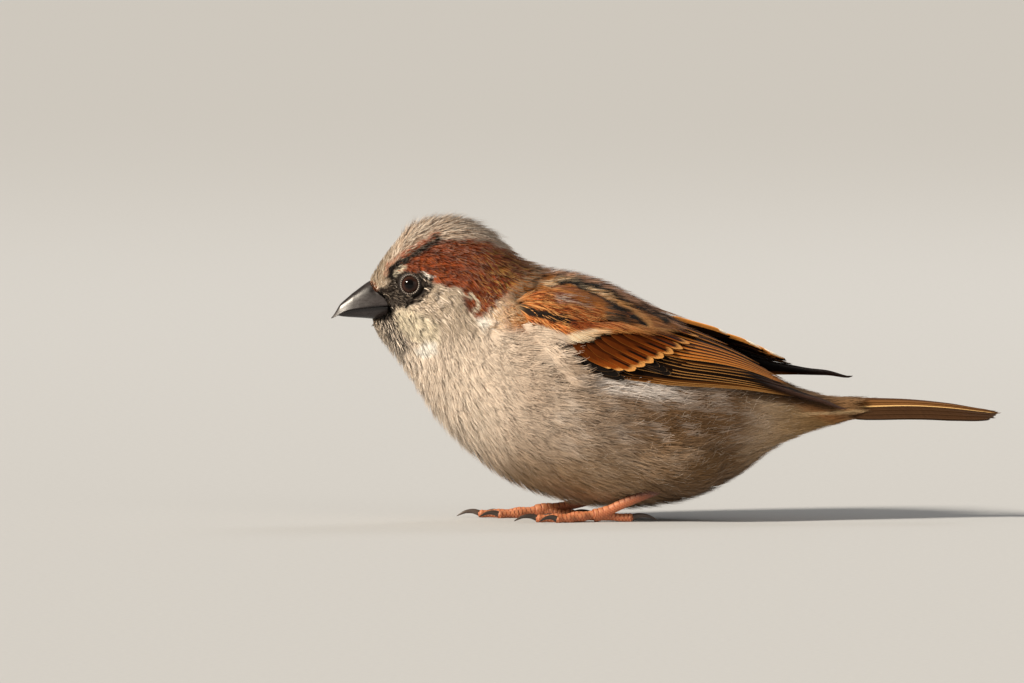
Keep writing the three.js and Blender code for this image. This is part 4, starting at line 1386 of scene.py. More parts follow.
PRIMARY = StiffVane("primary_keratin_zipped_vane", "#150b06", "#55300f", "#c08a4e", "#1a0e08", "#46322a",
    edge_share=0.09, band_share=0.16, tip_share=0.12, tip_blur=0.1, edge_to=0.76)
SECONDARY = StiffVane("secondary_keratin_zipped_vane", "#43200b", "#b9661f", "#dfa259", "#1a0e08",
    "#a06c38", edge_share=0.07, band_share=0.3, second_line=0.17)
TERTIAL = StiffVane("tertial_keratin_zipped_vane", "#170d07", "#9a5a22", "#c58a48", "#b8742f", "#a06a34",
    edge_share=0.07, band_share=0.3, inner_share=0.1, tip_share=0.02)
# The far wing's tertials: their dark core, band and outer fringe are darker than the near wing's, partly the
# feathers' black centres and partly painted shadow between the wings.
TERTIAL_INSIDE = StiffVane("tertial_keratin_pale_cornered", "#120905", "#3a1e0d", "#5a3a20", "#dc9448",
    "#fff4e0", edge_share=0.05, band_share=0.1, inner_share=0.34, tip_share=0.1, tip_corner=0.8)
GREATER_COVERT = StiffVane("greater_covert_keratin_vane", "#1a0c05", "#7c3a0e", "#9c5a1e", "#5c280a",
    "#d39653", edge_share=0.06, band_share=0.38, inner_share=0.43, tip_share=0.09, dark_from=0.5,
    roughness=0.65, contrast=0.2, root_shade=0.62, tip_blur=0.06)
ALULA = StiffVane("alula_keratin_zipped_vane", "#15110f", "#1a1411", "#6b5138", "#2a211b", "#5d4935",
    edge_share=0.05, band_share=0.08, inner_share=0.02, tip_share=0.015)
RECTRIX = StiffVane("tail_feather_keratin_zipped_vane", "#553820", "#76502d", "#865c34", "#4a3626",
    "#6a4c30", edge_share=0.05, band_share=0.2, inner_share=0.03, tip_share=0.01)
RECTRIX_EDGED = StiffVane("tail_feather_keratin_pale_edged", "#5f4128", "#8a5f36", "#dcb378", "#5d4632",
    "#7a5a3a", edge_share=0.14, band_share=0.3, inner_share=0.03, tip_share=0.01)
RECTRIX_OUTER = StiffVane("tail_feather_keratin_dark_outermost", "#402b1b", "#46301f", "#5a3f28", "#3a291a",
    "#4a3626", edge_share=0.03, band_share=0.1, inner_share=0.03, tip_share=0.01)


@dataclass(frozen=True)
class SoftKind:
    """A kind of soft feather of the wing, with its sizes in mm."""

    name: str
    length: float
    spread: float  # how much lengths differ
    half: float
    depth: float
    lift: tuple[float, float]
    jitter: float  # degrees by which slopes differ
    style: BarbStyle


MEDIAN = SoftKind("median_coverts", 6.2, 0.0, 1.5, 0.1, (0.5, 0.5), 1.5,
                  BarbStyle(barbs=21, spans=7, fray=0.1, round_tip=0.15, stray=0.02, shade=0.07))
LESSER = SoftKind("lesser_coverts", 5.6, 0.6, 1.4, 0.45, (0.35, 0.6), 8.0,
                  BarbStyle(barbs=13, spans=6, fray=0.4, stray=0.08, overlap=1.3, shade=0.14))
SCAPULAR = SoftKind("scapulars", 8.2, 0.6, 1.7, 0.2, (0.65, 0.9), 3.0,
                    BarbStyle(barbs=19, spans=8, fray=0.2, stray=0.02, shade=0.1, overlap=1.4))
SIDE_PLUME = SoftKind("side_plumes", 6.6, 0.9, 1.3, 0.3, (0.8, 1.3), 9.0,
                      BarbStyle(barbs=11, spans=5, fray=0.5, stray=0.1, overlap=1.2, shade=0.08))


@dataclass
class Wing:
    """One folded wing: flight feathers, their coverts and the small feathers over the shoulder."""

    form: WingForm
    markings: Markings
    word: str
    downy: bpy.types.Material  # of the soft feathers
    bed: bpy.types.Material  # of the skin between them and the flight feathers, darkened by painted shade
    rng: np.random.Generator
    # Tips from the lowest feather to the highest, as x and z.
    covert_tips: tuple = ((-11.1, 35.1), (-8.9, 34.5), (-6.6, 34.3), (-4.6, 35.2), (-2.7, 36.0),
        (-0.4, 36.9), (1.8, 37.8), (3.8, 38.7), (5.3, 39.7), (7.4, 41.0))
    alula_tips: tuple = ((-9.0, 32.0), (-10.2, 33.0), (-11.4, 34.2), (1.3, 33.2), (0.5, 34.0), (-1.2, 35.0))
    # The line where the median coverts end.
    bar_low: tuple = ((-23.0, 40.6), (-20.6, 40.4), (-16.7, 40.5), (-14.0, 41.3), (-11.7, 41.8),
        (-7.5, 42.0), (-1.9, 41.8))
    lesser_low: tuple = ((-34, 46.8), (-30, 45.4), (-27.2, 44.4), (-23.3, 42.9), (-20.6, 41.8),
        (-16.7, 41.9), (-11.7, 43.0), (-1.9, 43.0))
    bar: Patch = Patch(((-23.8, 40.8), (-22.5, 41.6), (-20.0, 42.3), (-17.2, 43.0), (-12.9, 43.1),
        (-11.8, 42.5), (-13.4, 41.2), (-16.7, 39.9), (-20.6, 39.7)), Tone.WING_BAR, 0.8)
    bar_inner: tuple = ((-14.5, 42.3), (-10, 42.4), (-5, 42.3), (-2, 42.1))
    dark_streak: tuple = ((-32, 47.9), (-29.4, 46.9), (-27, 46.0), (-23.5, 45.8), (-20.4, 44.6))
    grey_fluff: Patch = Patch(((-24.5, 50.8), (-20, 50.9), (-15.5, 49.5), (-16, 47.8), (-20, 48.8),
        (-24, 49)), Tone.GREY_FLUFF, 1.2, 0.8)
    chestnut_below: Patch = Patch(((-21, 44.8), (-15.5, 44.6), (-15.8, 42.8), (-21, 43.2)), Tone.CHESTNUT,
        1.0, 0.8)
    breast_top: float = 39.5  # height up to which the breast's own markings are read
    median_count: int = 15
    median_reach: float = 6.0
    median_slope: float = 27.0  # degrees
    plume_slope: float = 18.0
    primary_roots: tuple = (0.02, 0.05, 0.085, 0.19, 0.25, 0.3, 0.37, 0.42, 0.47)
    primary_tips: tuple = ((40.2, 0.4), (38.4, 0.42), (36.2, 0.44), (33.8, 0.47), (31.3, 0.5), (29.1, 0.55),
        (27.4, 0.7), (25.8, 0.78), (24.4, 0.84))
    primary_cores: tuple = (0.45, 0.45, 0.5, 1.5, 1.6, 1.5, 1.3, 0.8, 0.6)  # how dark each middle is
    tertial_roots: tuple = ((1.5, 0.84), (1.0, 0.91), (1.0, 0.98))
    tertial_tips: tuple = ((26.2, 0.98), (21.2, 0.985), (14.0, 1.0))
    secondary_tips: tuple = ((27.6, 0.86), (27.1, 0.885), (26.5, 0.91), (25.6, 0.935), (24.5, 0.96),
        (23.0, 0.985))

    def spots(self, rows: tuple) -> Array:
        """Places given as x and height share, as s and v."""
        return np.array(rows) * (-1, 1)

    def marks(self, rows: Array) -> Array:
        """Places given as x and z, as s and v."""
        rows = np.array(rows, float)
        return np.stack([-rows[:, 0], self.form.share(rows[:, 0], rows[:, 1])], 1)

    def behind(self, tips: Array, length: Array, slope: Array) -> Array:
        """Roots of feathers that slope down by some degrees to tips at x and z."""
        slope = np.radians(slope)
        return np.array(tips) + np.stack([-np.cos(slope) * length, np.sin(slope) * length], 1)

    def aim(self, s: Array, v: Array, slope: Array) -> Array:
        """The turn off the wing's lie with which a feather slopes down by some degrees.

        Args:
            s, v: Where it roots.
            slope: The degrees.

        Returns:
            The turn in radians.
        """
        _, _, lie, beside = self.form.lie(s, v)
        slope = np.radians(slope)
        way = np.stack([np.cos(slope), 0 * slope, -np.sin(slope)], -1)
        return np.arctan2((way * beside).sum(-1), (way * lie).sum(-1))

    def blades(self, roots: Array, tips: Array, outer: float, inner: float, low: float, high: float,
               core: Array | float, **shape: float) -> Blades:
        """A fan of stiff feathers, each lying a little higher than the one below it.

        Args:
            roots, tips: Places as s and v.
            outer, inner: Widths of the vane, in mm.
            low, high: Height of the lowest and the highest feather over the wing, in mm.
            core: How much of each vane is dark.
            shape: Further sizes of the blades.

        Returns:
            The fan.
        """
        count = len(roots)
        layers = np.linspace(low, high, count)
        return Blades(roots, tips, np.full(count, outer), np.full(count, inner),
                      np.stack([layers - 0.25, layers], 1), np.broadcast_to(core, (count,)).astype(float),
                      **shape)

    def lay(self, name: str, fan: Blades, rows: int, vane: StiffVane,
            node: str = "") -> None:
        """Makes a fan of stiff feathers.

        Args:
            name: The fan's name, without its side.
            fan: Its feathers.
            rows: Vertices along each.
            vane: Their finish.
            node: The CAD plate of the wing that they stand for, if any.
        """
        put(f"{name}_{self.word}", stiff_feathers(self.form, fan, self.rng, rows), vane.make(),
            [f"wing_{node}_{self.word}"] if node else [])

    def flight(self) -> None:
        """Builds primaries, secondaries and tertials."""
        i = np.linspace(0, 1, len(self.primary_roots))
        roots = np.stack([12.5 - 12.5 * i, np.array(self.primary_roots)], 1)
        near = self.form.side == LEFT
        # The far wing's tip is held clear of the rump, with its feathers closed over one another.
        tips = self.spots(self.primary_tips) + (0, 0 if near else 0.12)
        shape = {"bend": 2.2, "taper_from": 0.62} if near else {"bend": 2.0, "taper_from": 0.8}
        outer, inner = (0.95, 2.1) if near else (1.2, 2.6)
        fan = self.blades(roots, tips, outer, inner, -1.15, -0.8, np.array(self.primary_cores),
                          round_tip=0.05, taper=0.28, **shape)
        self.lay("primaries", fan, 26, PRIMARY, node="primaries")
        i = np.linspace(0, 1, len(self.secondary_tips))
        roots = np.stack([3.0 - 4 * i, 0.49 + 0.31 * i], 1)
        fan = self.blades(roots, self.spots(self.secondary_tips), 1.05, 2.0, -0.74, -0.52, 1.0, bend=1.35,
                          round_tip=0.06, taper=0.5)
        self.lay("secondaries", fan, 22, SECONDARY, node="secondaries")
        fan = self.blades(np.array(self.tertial_roots), self.spots(self.tertial_tips), 1.2, 1.5, -0.44, -0.12,
                          1.0, bend=1.2, round_tip=0.09, taper=0.4 if near else 0.55,
                          tilt=0.05 if near else -0.6)
        self.lay("tertials", fan, 22, TERTIAL if near else TERTIAL_INSIDE)

    def coverts(self) -> None:
        """Builds greater coverts, alula and the dark feathers at the bend of the wing."""
        tips = np.array(self.covert_tips)
        i = np.linspace(0, 1, len(tips))
        roots = self.behind(tips, 12 + 2.5 * i, 31 - 11 * i)
        fan = self.blades(self.marks(roots), self.marks(tips), 1.2, 1.6, -0.35, 0.0, 0.9 + 0.8 * i ** 2,
                          round_tip=0.12, taper=0.85, taper_from=0.85, tilt=0.16)
        self.lay("greater_coverts", fan, 18, GREATER_COVERT, "coverts")
        tips = np.array(self.alula_tips)
        roots = self.behind(tips, np.full(len(tips), 9.5), np.full(len(tips), 20.0))
        fan = self.blades(self.marks(roots), self.marks(tips), 0.65, 0.85, -0.66, -0.42, 1.0, round_tip=0.14,
                          taper=0.85, taper_from=0.85)
        self.lay("alula", fan, 16, ALULA)

    def small_tone(self, points: Array, luck: Array) -> Array:
        """Colour of the lesser coverts.

        Args:
            points: Places on the wing.
            luck: Each barb's luck.

        Returns:
            The colours.
        """
        place = self.form.rest_place(points)
        x, z = place[..., 0], place[..., 2]
        drift = wave_noise(place * (1, 0.2, 1), 3.4, 41)
        bar = laid(Tone.WING_BAR,
                   (Tone.WING_BAR_ORANGE, 0.55 * ramp(x, -19, -13) + 0.35 * (luck < 0.35)))
        below = height_at(self.markings.shoulder_line, x) - z
        return laid(
            Tone.LESSER,
            (Tone.MANTLE_BUFF, (luck > 0.62) * 0.75),
            (Tone.CHESTNUT_DEEP, (luck < 0.28) * 0.85),
            (Tone.SOOT, ramp(from_line(self.dark_streak, x, z + 0.3 * drift), 1.15, 0.7) * (luck < 0.85)),
            *((p.colour, p.weight(x, z, luck) * (luck > share))
              for p, share in ((self.grey_fluff, 0.35), (self.chestnut_below, 0.2))),
            (Tone.WING_BAR_ORANGE,
             0.6 * ramp(from_line(self.bar_inner, x, z), 0.4, 0.12) * ramp(x, -15.5, -13)),
            (bar, self.bar.weight(x, z, luck)),
            (Tone.NECK_BUFF, ramp(x, -31, -34) * 0.7),
            (self.breast_tone(points, luck), ramp(below, -0.2, 0.5) * ramp(x, -19.5, -22.5)))

    def breast_tone(self, points: Array, luck: Array) -> Array:
        """The colour of the breast beside the wing, carried on over it."""
        return self.markings.body(np.minimum(points, (99, 99, self.breast_top)), luck)

    def tufts(self, kind: SoftKind, plumes: Plumes, paint: Painter) -> None:
        """Grows soft feathers on the wing.

        Args:
            kind: Their kind.
            plumes: Where they root and how they lie.
            paint: Their colours.
        """
        s_low, s_high, v_low, v_high = plumes.s.min(), plumes.s.max(), plumes.v.min(), plumes.v.max()

        def square(s: Array, v: Array) -> tuple[Array, Array]:
            """Root places as shares of the stretch that they cover."""
            return (0.02 + 0.96 * (s - s_low) / (s_high - s_low),
                    0.02 + 0.96 * (v - v_low) / (v_high - v_low))

        part = grow(self.form, plumes, kind.style, paint, square, self.rng)
        put(f"{kind.name}_{self.word}", part, self.downy)

    def strew(self, kind: SoftKind, x: Array, h: Array, slope: Array | float, paint: Painter) -> None:
        """Grows soft feathers, each a little different.

        Args:
            kind: Their kind.
            x, h: Where they root, as X and height share.
            slope: How steeply they fall, in degrees.
            paint: Their colours.
        """
        n = len(x)
        length, lift = self.rng.normal(kind.length, kind.spread, n), self.rng.uniform(*kind.lift, n)
        turn = self.aim(-x, h, slope + self.rng.normal(0, kind.jitter, n))
        half, depth = np.full(n, kind.half), np.full(n, kind.depth)
        self.tufts(kind, Plumes(-x, h, length, half, depth, lift, turn), paint)

    def soft(self) -> None:
        """Builds median coverts, lesser coverts, scapulars and side plumes out of barbs."""

        def luck_of(points: Array, across: Array, draw: np.random.Generator) -> Array:
            """One number from 0 to 1 for each barb."""
            return np.broadcast_to(draw.random(across.shape)[..., None], points.shape[:3])

        def lesser(points: Array, across: Array, along: Array, draw: np.random.Generator) -> Array:
            """Rufous, buff and dark barbs with darker bases.

            Args:
                points, across, along: Places in mm, across the vanes and along them.
                draw: Random numbers.

            Returns:
                A colour for each point.
            """
            luck = luck_of(points, across, draw)
            colour = self.small_tone(points + draw.normal(0, 0.1, across.shape + (1, 3)), luck)
            return colour * (0.6 + 0.4 * ramp(along, 0.15, 0.6))[None, None, :, None]

        def scapular(points: Array, across: Array, along: Array, draw: np.random.Generator) -> Array:
            """The streaked pattern of the back."""
            return self.markings.mantle(self.form.rest_place(points), luck_of(points, across, draw))

        def side_plume(points: Array, across: Array, along: Array, draw: np.random.Generator) -> Array:
            """The breast's own colour, with painted shade darkening the tips of the rear plumes.

            Args:
                points, across, along: Places in mm, across the vanes and along them.
                draw: Random numbers.

            Returns:
                A colour for each point.
            """
            luck = luck_of(points, across, draw)
            # painted shade on the tips of the rear plumes
            shaded = ramp(along, 0.55, 1.0)[None, None, :] * ramp(points[..., 0], -22, -17) * (luck < 0.6)
            return laid(self.breast_tone(points, luck), (Tone.FLANK_DARK, 0.7 * shaded))

        n = self.median_count
        x = np.linspace(self.bar_low[0][0], self.bar_low[-1][0], n)
        tips = np.stack([x, height_at(self.bar_low, x)], 1)
        s, v = self.marks(self.behind(tips, np.full(n, self.median_reach), np.full(n, self.median_slope))).T
        sizes = [np.full(n, size) for size in (MEDIAN.length, MEDIAN.half, MEDIAN.depth, MEDIAN.lift[0])]
        turn = self.aim(s, v, self.median_slope + self.rng.normal(0, MEDIAN.jitter, n))
        self.tufts(MEDIAN, Plumes(s, v, *sizes, turn), lesser)

        x, h, z = self.scatter(1.15, (-33.5, -8.0), (0.3, 1.0))
        slope = np.interp(x, [-32, -22, -15], [22, 28, 44]) * ramp(z, 53, 47)
        keep = z - LESSER.length * np.sin(np.radians(slope)) > height_at(self.lesser_low, x + 4.9)
        keep &= x > np.interp(z, [44, 48.5], [-29.5, -33.5])
        self.strew(LESSER, x[keep], h[keep], slope[keep], lesser)

        x, h, z = self.scatter(1.35, (-24.0, -1.0), (0.68, 1.12))
        keep = h > np.interp(x, [-24, -20, -14, -8, -1], [0.88, 0.84, 0.75, 0.76, 0.9])
        keep &= h < (1.12 if self.form.side == LEFT else 0.98)
        slope = np.interp(x[keep], [-22, -14, -8, 0], [6, 20, 29, 27])
        self.strew(SCAPULAR, x[keep], h[keep], slope, scapular)

        x, h, z = self.scatter(1.05, (-34.0, -13.0), (-0.35, 0.6))
        reach = x + 6 + self.rng.normal(0, 0.8, len(x))
        keep = reach < np.interp(z - 1.5, [32.7, 36, 39.5], [-14.5, -18.0, -21.6])
        keep &= z < height_at(self.markings.shoulder_line, x) - 0.9
        self.strew(SIDE_PLUME, x[keep], h[keep], self.plume_slope, side_plume)

    def scatter(self, gap: float, xs: tuple, hs: tuple) -> tuple[Array, Array, Array]:
        """Uneven, staggered places over a stretch of the wing.

        Args:
            gap: Distance between them, in mm.
            xs, hs: The stretch, in X and in height share.

        Returns:
            X, height share and Z of each.
        """
        places = []
        for row, x in enumerate(np.arange(*xs, gap * 0.9)):
            low, high = self.form.edges(np.array(x))
            tall = float(high[1] - low[1])
            h = np.arange(hs[0] + (row % 2) * gap / tall / 2, hs[1], gap / tall * 0.92)
            h = h + self.rng.normal(0, 0.2 * gap / tall, len(h))
            places.append(np.stack([x + self.rng.normal(0, 0.22 * gap, len(h)), h], 1))
        x, h = np.concatenate(places).T
        low, high = self.form.edges(x)
        return x, h, low[:, 1] + h * (high - low)[:, 1]

    def build(self) -> None:
        """Builds the whole wing."""
        rows, columns = 60, 30
        i, h = np.meshgrid(np.linspace(0, 1, rows), np.linspace(0.04, 1.0, columns), indexing="ij")
        x = -32 + i * (19 + 8 * ramp(h, 0.5, 0.7))
        point, out, _, _ = self.form.frame(-x, h)
        sheet = np.stack([point - 1.5 * out, point - 2.0 * out], 0)
        quads = grid_quads(rows, columns)
        bake = np.stack([(x + 33) / 43, h], -1)
        # The sheet takes the lesser coverts' colour at half brightness: painted shade under the feathers.
        part = MeshPart(sheet, np.concatenate([quads, quads[:, ::-1] + rows * columns]),
                        0.5 * self.small_tone(sheet, np.full(sheet.shape[:3], 0.5)), None,
                        {"OFBake": np.stack([bake, bake])})
        put(f"wing_skin_{self.word}", part, self.bed)
        self.flight()
        self.coverts()
        self.soft()


# ---- The tail ----


@dataclass
class TailForm(Surface):
    """The closed tail's roof: s is minus X, v the distance from its ridge in mm."""

    ridge: tuple = ((37.3, 27.2), (46.0, 27.1), (54.5, 26.8), (63.3, 25.9), (71.1, 24.6), (74.2, 24.1))
    fall: tuple = ((37.3, 4.1), (46.0, 4.3), (63.3, 3.2), (71.1, 1.9), (74.2, 1.6))  # ridge to edge
    half: tuple = ((37.3, 4.8), (74.2, 7.6))
    roof: float = 1.6  # power of the fall across
    narrowing: float = 0.12
    roll: float = math.radians(4)
    pivot_drop: float = 1.55

    def point(self, s: Array, v: Array) -> Array:
        """Points of the roof, in mm.

        Args:
            s, v: Places on the roof.

        Returns:
            The points.
        """
        x = -s
        share = np.abs(v) / height_at(self.half, x)
        ridge = np.array(self.ridge)
        z = height_at(ridge, x) - height_at(self.fall, x) * share ** self.roof
        z = z + np.minimum(0, x - ridge[0, 0]) * 0.08
        y = v * (1 - self.narrowing * share ** 2)
        pivot = ridge[0, 1] - self.pivot_drop
        cos, sin = math.cos(-self.roll), math.sin(-self.roll)
        return np.stack([x + 0 * v, y * cos - (z - pivot) * sin, pivot + y * sin + (z - pivot) * cos], -1)

    def outward(self) -> float:
        """The tangents cross downwards."""
        return -1.0


@dataclass
class Tail:
    """Twelve tail feathers, closed as a low roof."""

    tips: tuple = (73.4, 74.0, 74.2, 73.9, 73.2, 72.4)
    # For each pair, how far its outer edge lies from the ridge at its root and at its tip.
    edges: tuple = ((2.4, 2.5), (3.0, 2.9), (3.6, 3.3), (4.0, 4.8), (4.4, 6.3), (4.8, 7.6))
    outer_vane: float = 1.3
    inner_vane: float = 3.0

    def build(self, seed: int) -> None:
        """Builds each side's feathers, from the middle pair out and down.

        Args:
            seed: Seed of its random numbers.
        """
        plain, outermost = RECTRIX.make(), RECTRIX_OUTER.make()
        finishes = [plain, plain, RECTRIX_EDGED.make(), outermost, outermost, outermost]
        form = TailForm()
        for side, word in ((LEFT, "left"), (RIGHT, "right")):
            rng = np.random.default_rng(seed + side)
            for pair, edge in enumerate(self.edges):
                outer = self.outer_vane if pair else self.outer_vane * 1.5
                inner = self.inner_vane if pair else 0.9
                roots = np.array([(-self.root_x(pair), side * (edge[0] - outer))])
                tips = np.array([(-self.tips[pair], side * (edge[1] - outer))])
                widths = (outer, inner) if side == LEFT else (inner, outer)
                under = -0.13 * pair
                blades = Blades(roots, tips, np.array([widths[0]]), np.array([widths[1]]),
                                np.array([[under, under + 0.02 * rng.random()]]), np.array([1.0]), bend=0.9,
                                round_tip=0.03, taper=0.6, taper_from=0.9, camber=0.03,
                                tilt=0.05 if side == LEFT else -0.05)
                part = stiff_feathers(form, blades, rng, 30)
                if side == RIGHT:
                    part.maps["vane"][:, 0] = 1 - part.maps["vane"][:, 0]
                part.maps["barbs"][:, 1] += 50 * pair
                nodes = {2: ["inner"], 3: ["middle"], 5: ["outer"]}.get(pair, [])
                names = [f"tail_{n}_{word}" for n in nodes]
                if side == LEFT and pair == 0:
                    names.append("tail_centre")
                put(f"tail_feather_{pair + 1}_{word}", part, finishes[pair], names)

    def root_x(self, pair: int) -> float:
        """Where a feather leaves the coverts."""
        return 31.0 + 0.4 * pair


# ---- Bill, eyes, legs ----


@dataclass(frozen=True)
class Horn:
    """Keratin sheath grown over bone: blackish grey, waxy gloss, faint growth lines and scuffs."""

    name: str
    dark: str = "#120e0e"
    light: str = "#332c2c"
    roughness: float = 0.24
    line_mm: float = 0.7  # growth lines are about 0.2 mm apart, drawn coarser
    cloud_mm: float = 2.6

    def make(self) -> bpy.types.Material:
        """The horn's material: cloudy, lined along its length, duller where it is scuffed."""
        return make_material(
            self.name, OBJECT_PLACE,
            ("drawn", "Mapping", {"Vector": "place.Object", "Scale": (0.35, 1.0, 1.0)}),
            ("cloud", "TexNoise", {"Vector": "drawn", "Scale": 1 / (self.cloud_mm * MM), "Detail": 4.0}),
            ("lines", "TexNoise", {"Vector": "drawn", "Scale": 1 / (self.line_mm * MM), "Detail": 5.0,
                                   "Roughness": 0.7}),
            ("both", "Math", {"operation": "MULTIPLY_ADD", 0: "lines", 1: 0.45, 2: "cloud"}),
            ("shades", "ValToRGB", {"Fac": "both", "stops": ((0.45, self.dark), (1.0, self.light))}),
            ("dull", "MapRange", {"Value": "lines", "To Min": self.roughness - 0.07,
                                  "To Max": self.roughness + 0.16}),
            ("bump", "Bump", {"Height": "lines", "Strength": 0.22, "Distance": 0.08 * MM}),
            ("shader", "BsdfPrincipled", {"Base Color": "shades", "Roughness": "dull", "Normal": "bump",
                                          "IOR": 1.54, "Specular IOR Level": 0.4}))


@dataclass
class Bill:
    """A short, deep, seed-cracking bill in two halves with a closed mouth."""

    ridge: tuple = ((-61.5, 54.6), (-65.6, 53.2), (-69.4, 50.5), (-72.2, 48.0), (-74.2, 45.0))
    edge: tuple = ((-61.5, 47.9), (-64.5, 47.7), (-66.6, 47.35), (-68.4, 47.1), (-71.2, 46.4), (-74.2, 44.8))
    rim: tuple = ((-61.5, 44.3), (-64.4, 44.65), (-66.9, 44.9), (-70.2, 45.1), (-71.8, 45.25), (-73.0, 45.5))
    base_x: float = -61.5
    base_half: float = 3.9
    taper: float = 0.72
    mouth_gap: float = 0.04
    nostril: tuple[float, float] = (-64.4, 51.2)
    rows: int = 80
    around: int = 64

    def half(self, outer: tuple, tip_x: float, up: float) -> MeshPart:
        """One mandible.

        Args:
            outer: Its outer profile.
            tip_x: Where it ends.
            up: 1 for the upper half, a little under -1 for the lower.

        Returns:
            Its closed mesh.
        """
        sign = math.copysign(1, up)
        i = np.linspace(0, 1, self.rows)[:, None]
        along = 1 - (1 - i) ** 1.4
        x = self.base_x + (tip_x - self.base_x) * along
        high = height_at(outer, x)
        low = height_at(self.edge, x) + sign * self.mouth_gap / 2
        angle = 2 * np.pi * np.arange(self.around)[None, :] / self.around
        lift, out = np.cos(angle), np.sin(angle)
        # The cutting edges hang below a hollow palate, so that the closed mouth shows no gap.
        hollow = -0.05 + 0.3 * np.maximum(-lift, 0) ** 1.5 if up > 0 else 0.12 * (1 + lift)
        share = np.where(lift >= 0, hollow + (1 - hollow) * np.maximum(lift, 0) ** 1.1, hollow)
        wide = self.base_half * abs(up) * np.maximum(1 - along, 0.0004) ** self.taper
        y = wide * out * (1 - 0.16 * np.maximum(lift, 0) * (1 - np.abs(lift)) * 2)
        # The cutting edge of the upper half rolls a little over the lower one.
        y = y * (1 + (0.05 if up > 0 else -0.03) * np.exp(-(lift / 0.35) ** 2))
        z = low + (high - low) * share
        if up > 0:
            near = np.exp(-((x - self.nostril[0]) / 0.75) ** 2 - ((z - self.nostril[1]) / 0.5) ** 2)
            y = y - np.sign(out) * 0.2 * near
        points = np.stack([x + 0 * y, y, z + 0 * y], -1)
        quads = grid_quads(self.rows, self.around, closed=True)
        # Both ends close over their middles.
        k = np.arange(self.around)
        after = (k + 1) % self.around
        last, cap = (self.rows - 1) * self.around, self.rows * self.around
        other = cap + self.around
        quads = np.concatenate([quads, np.stack([k, after, cap + after, cap + k], 1),
                                np.stack([last + after, last + k, other + k, other + after], 1)])
        middles = [np.repeat(points[row].mean(0)[None], self.around, 0) for row in (0, -1)]
        return MeshPart(np.concatenate([points.reshape(-1, 3), *middles]), quads[:, ::-1])

    def build(self) -> None:
        """Makes both halves."""
        horn = Horn("bill_sheath_keratin_grown").make()
        for name, outer, tip, up in (("bill_upper", self.ridge, -74.2, 1.0),
                                     ("bill_lower", self.rim, -73.0, -0.92)):
            turn_out(put(f"{name}_sheath", self.half(outer, tip, up), horn, [name]))


def turn_out(piece: bpy.types.Object) -> None:
    """Joins a closed piece's doubled corners and turns its faces outwards.

    Args:
        piece: The piece.
    """
    shape = bmesh.new()
    shape.from_mesh(piece.data)
    bmesh.ops.remove_doubles(shape, verts=shape.verts, dist=1e-7)
    bmesh.ops.recalc_face_normals(shape, faces=shape.faces)
    shape.to_mesh(piece.data)
    shape.free()


@dataclass(frozen=True)
class WetEye:
    """A living eye: dark brown iris round a black pupil under a wet, clear cornea."""

    name: str = "eye_iris_under_wet_cornea"
    pupil_mm: float = 0.95
    iris_mm: float = 1.95
    white_mm: float = 2.4  # where the rings end, under the lids
    fibre_mm: float = 0.35

    def make(self) -> bpy.types.Material:
        """The eye's material, ringed by distance from its axis.

        Returns:
            The material.
        """
        pupil, iris = self.pupil_mm / self.white_mm, self.iris_mm / self.white_mm
        stops = ((pupil - 0.04, "#050303"), (pupil + 0.06, "#20120d"), (iris - 0.14, "#382118"),
                 (iris - 0.02, "#120b08"), (1.0, "#0c0806"))
        return make_material(
            self.name, OBJECT_PLACE,
            ("ring", "Attribute", {"attribute_name": "ring"}),
            ("fibres", "TexNoise", {"Vector": "place.Object", "Scale": 1 / (self.fibre_mm * MM),
                                    "Detail": 3.0}),
            ("share", "MapRange", {"Value": "ring.Fac", "From Max": self.white_mm}),
            ("rings", "ValToRGB", {"Fac": "share", "stops": stops}),
            ("value", "MapRange", {"Value": "fibres", "To Min": 0.6, "To Max": 1.4}),
            ("tinted", "HueSaturation", {"Value": "value", "Color": "rings"}),
            ("shader", "BsdfPrincipled", {
                "Base Color": "tinted", "Roughness": 0.5, "Specular IOR Level": 0.0, "Coat Weight": 0.8,
                "Coat Roughness": 0.02, "Coat IOR": 1.34}))


@dataclass(frozen=True)
class LidSkin:
    """Bare eyelid rim: thin dark skin with a row of pale swellings."""

    name: str = "eyelid_bare_skin_beaded"

    def make(self) -> bpy.types.Material:
        """The lid's material, paler on its beads."""
        return make_material(
            self.name,
            ("bead", "Attribute", {"attribute_name": "bead"}),
            ("shades", "ValToRGB", {"Fac": "bead.Fac", "stops": ((0.35, "#1d1612"), (0.9, "#a3958a"))}),
            ("shader", "BsdfPrincipled", {"Base Color": "shades", "Roughness": 0.5,
                                          "Specular IOR Level": 0.4}))


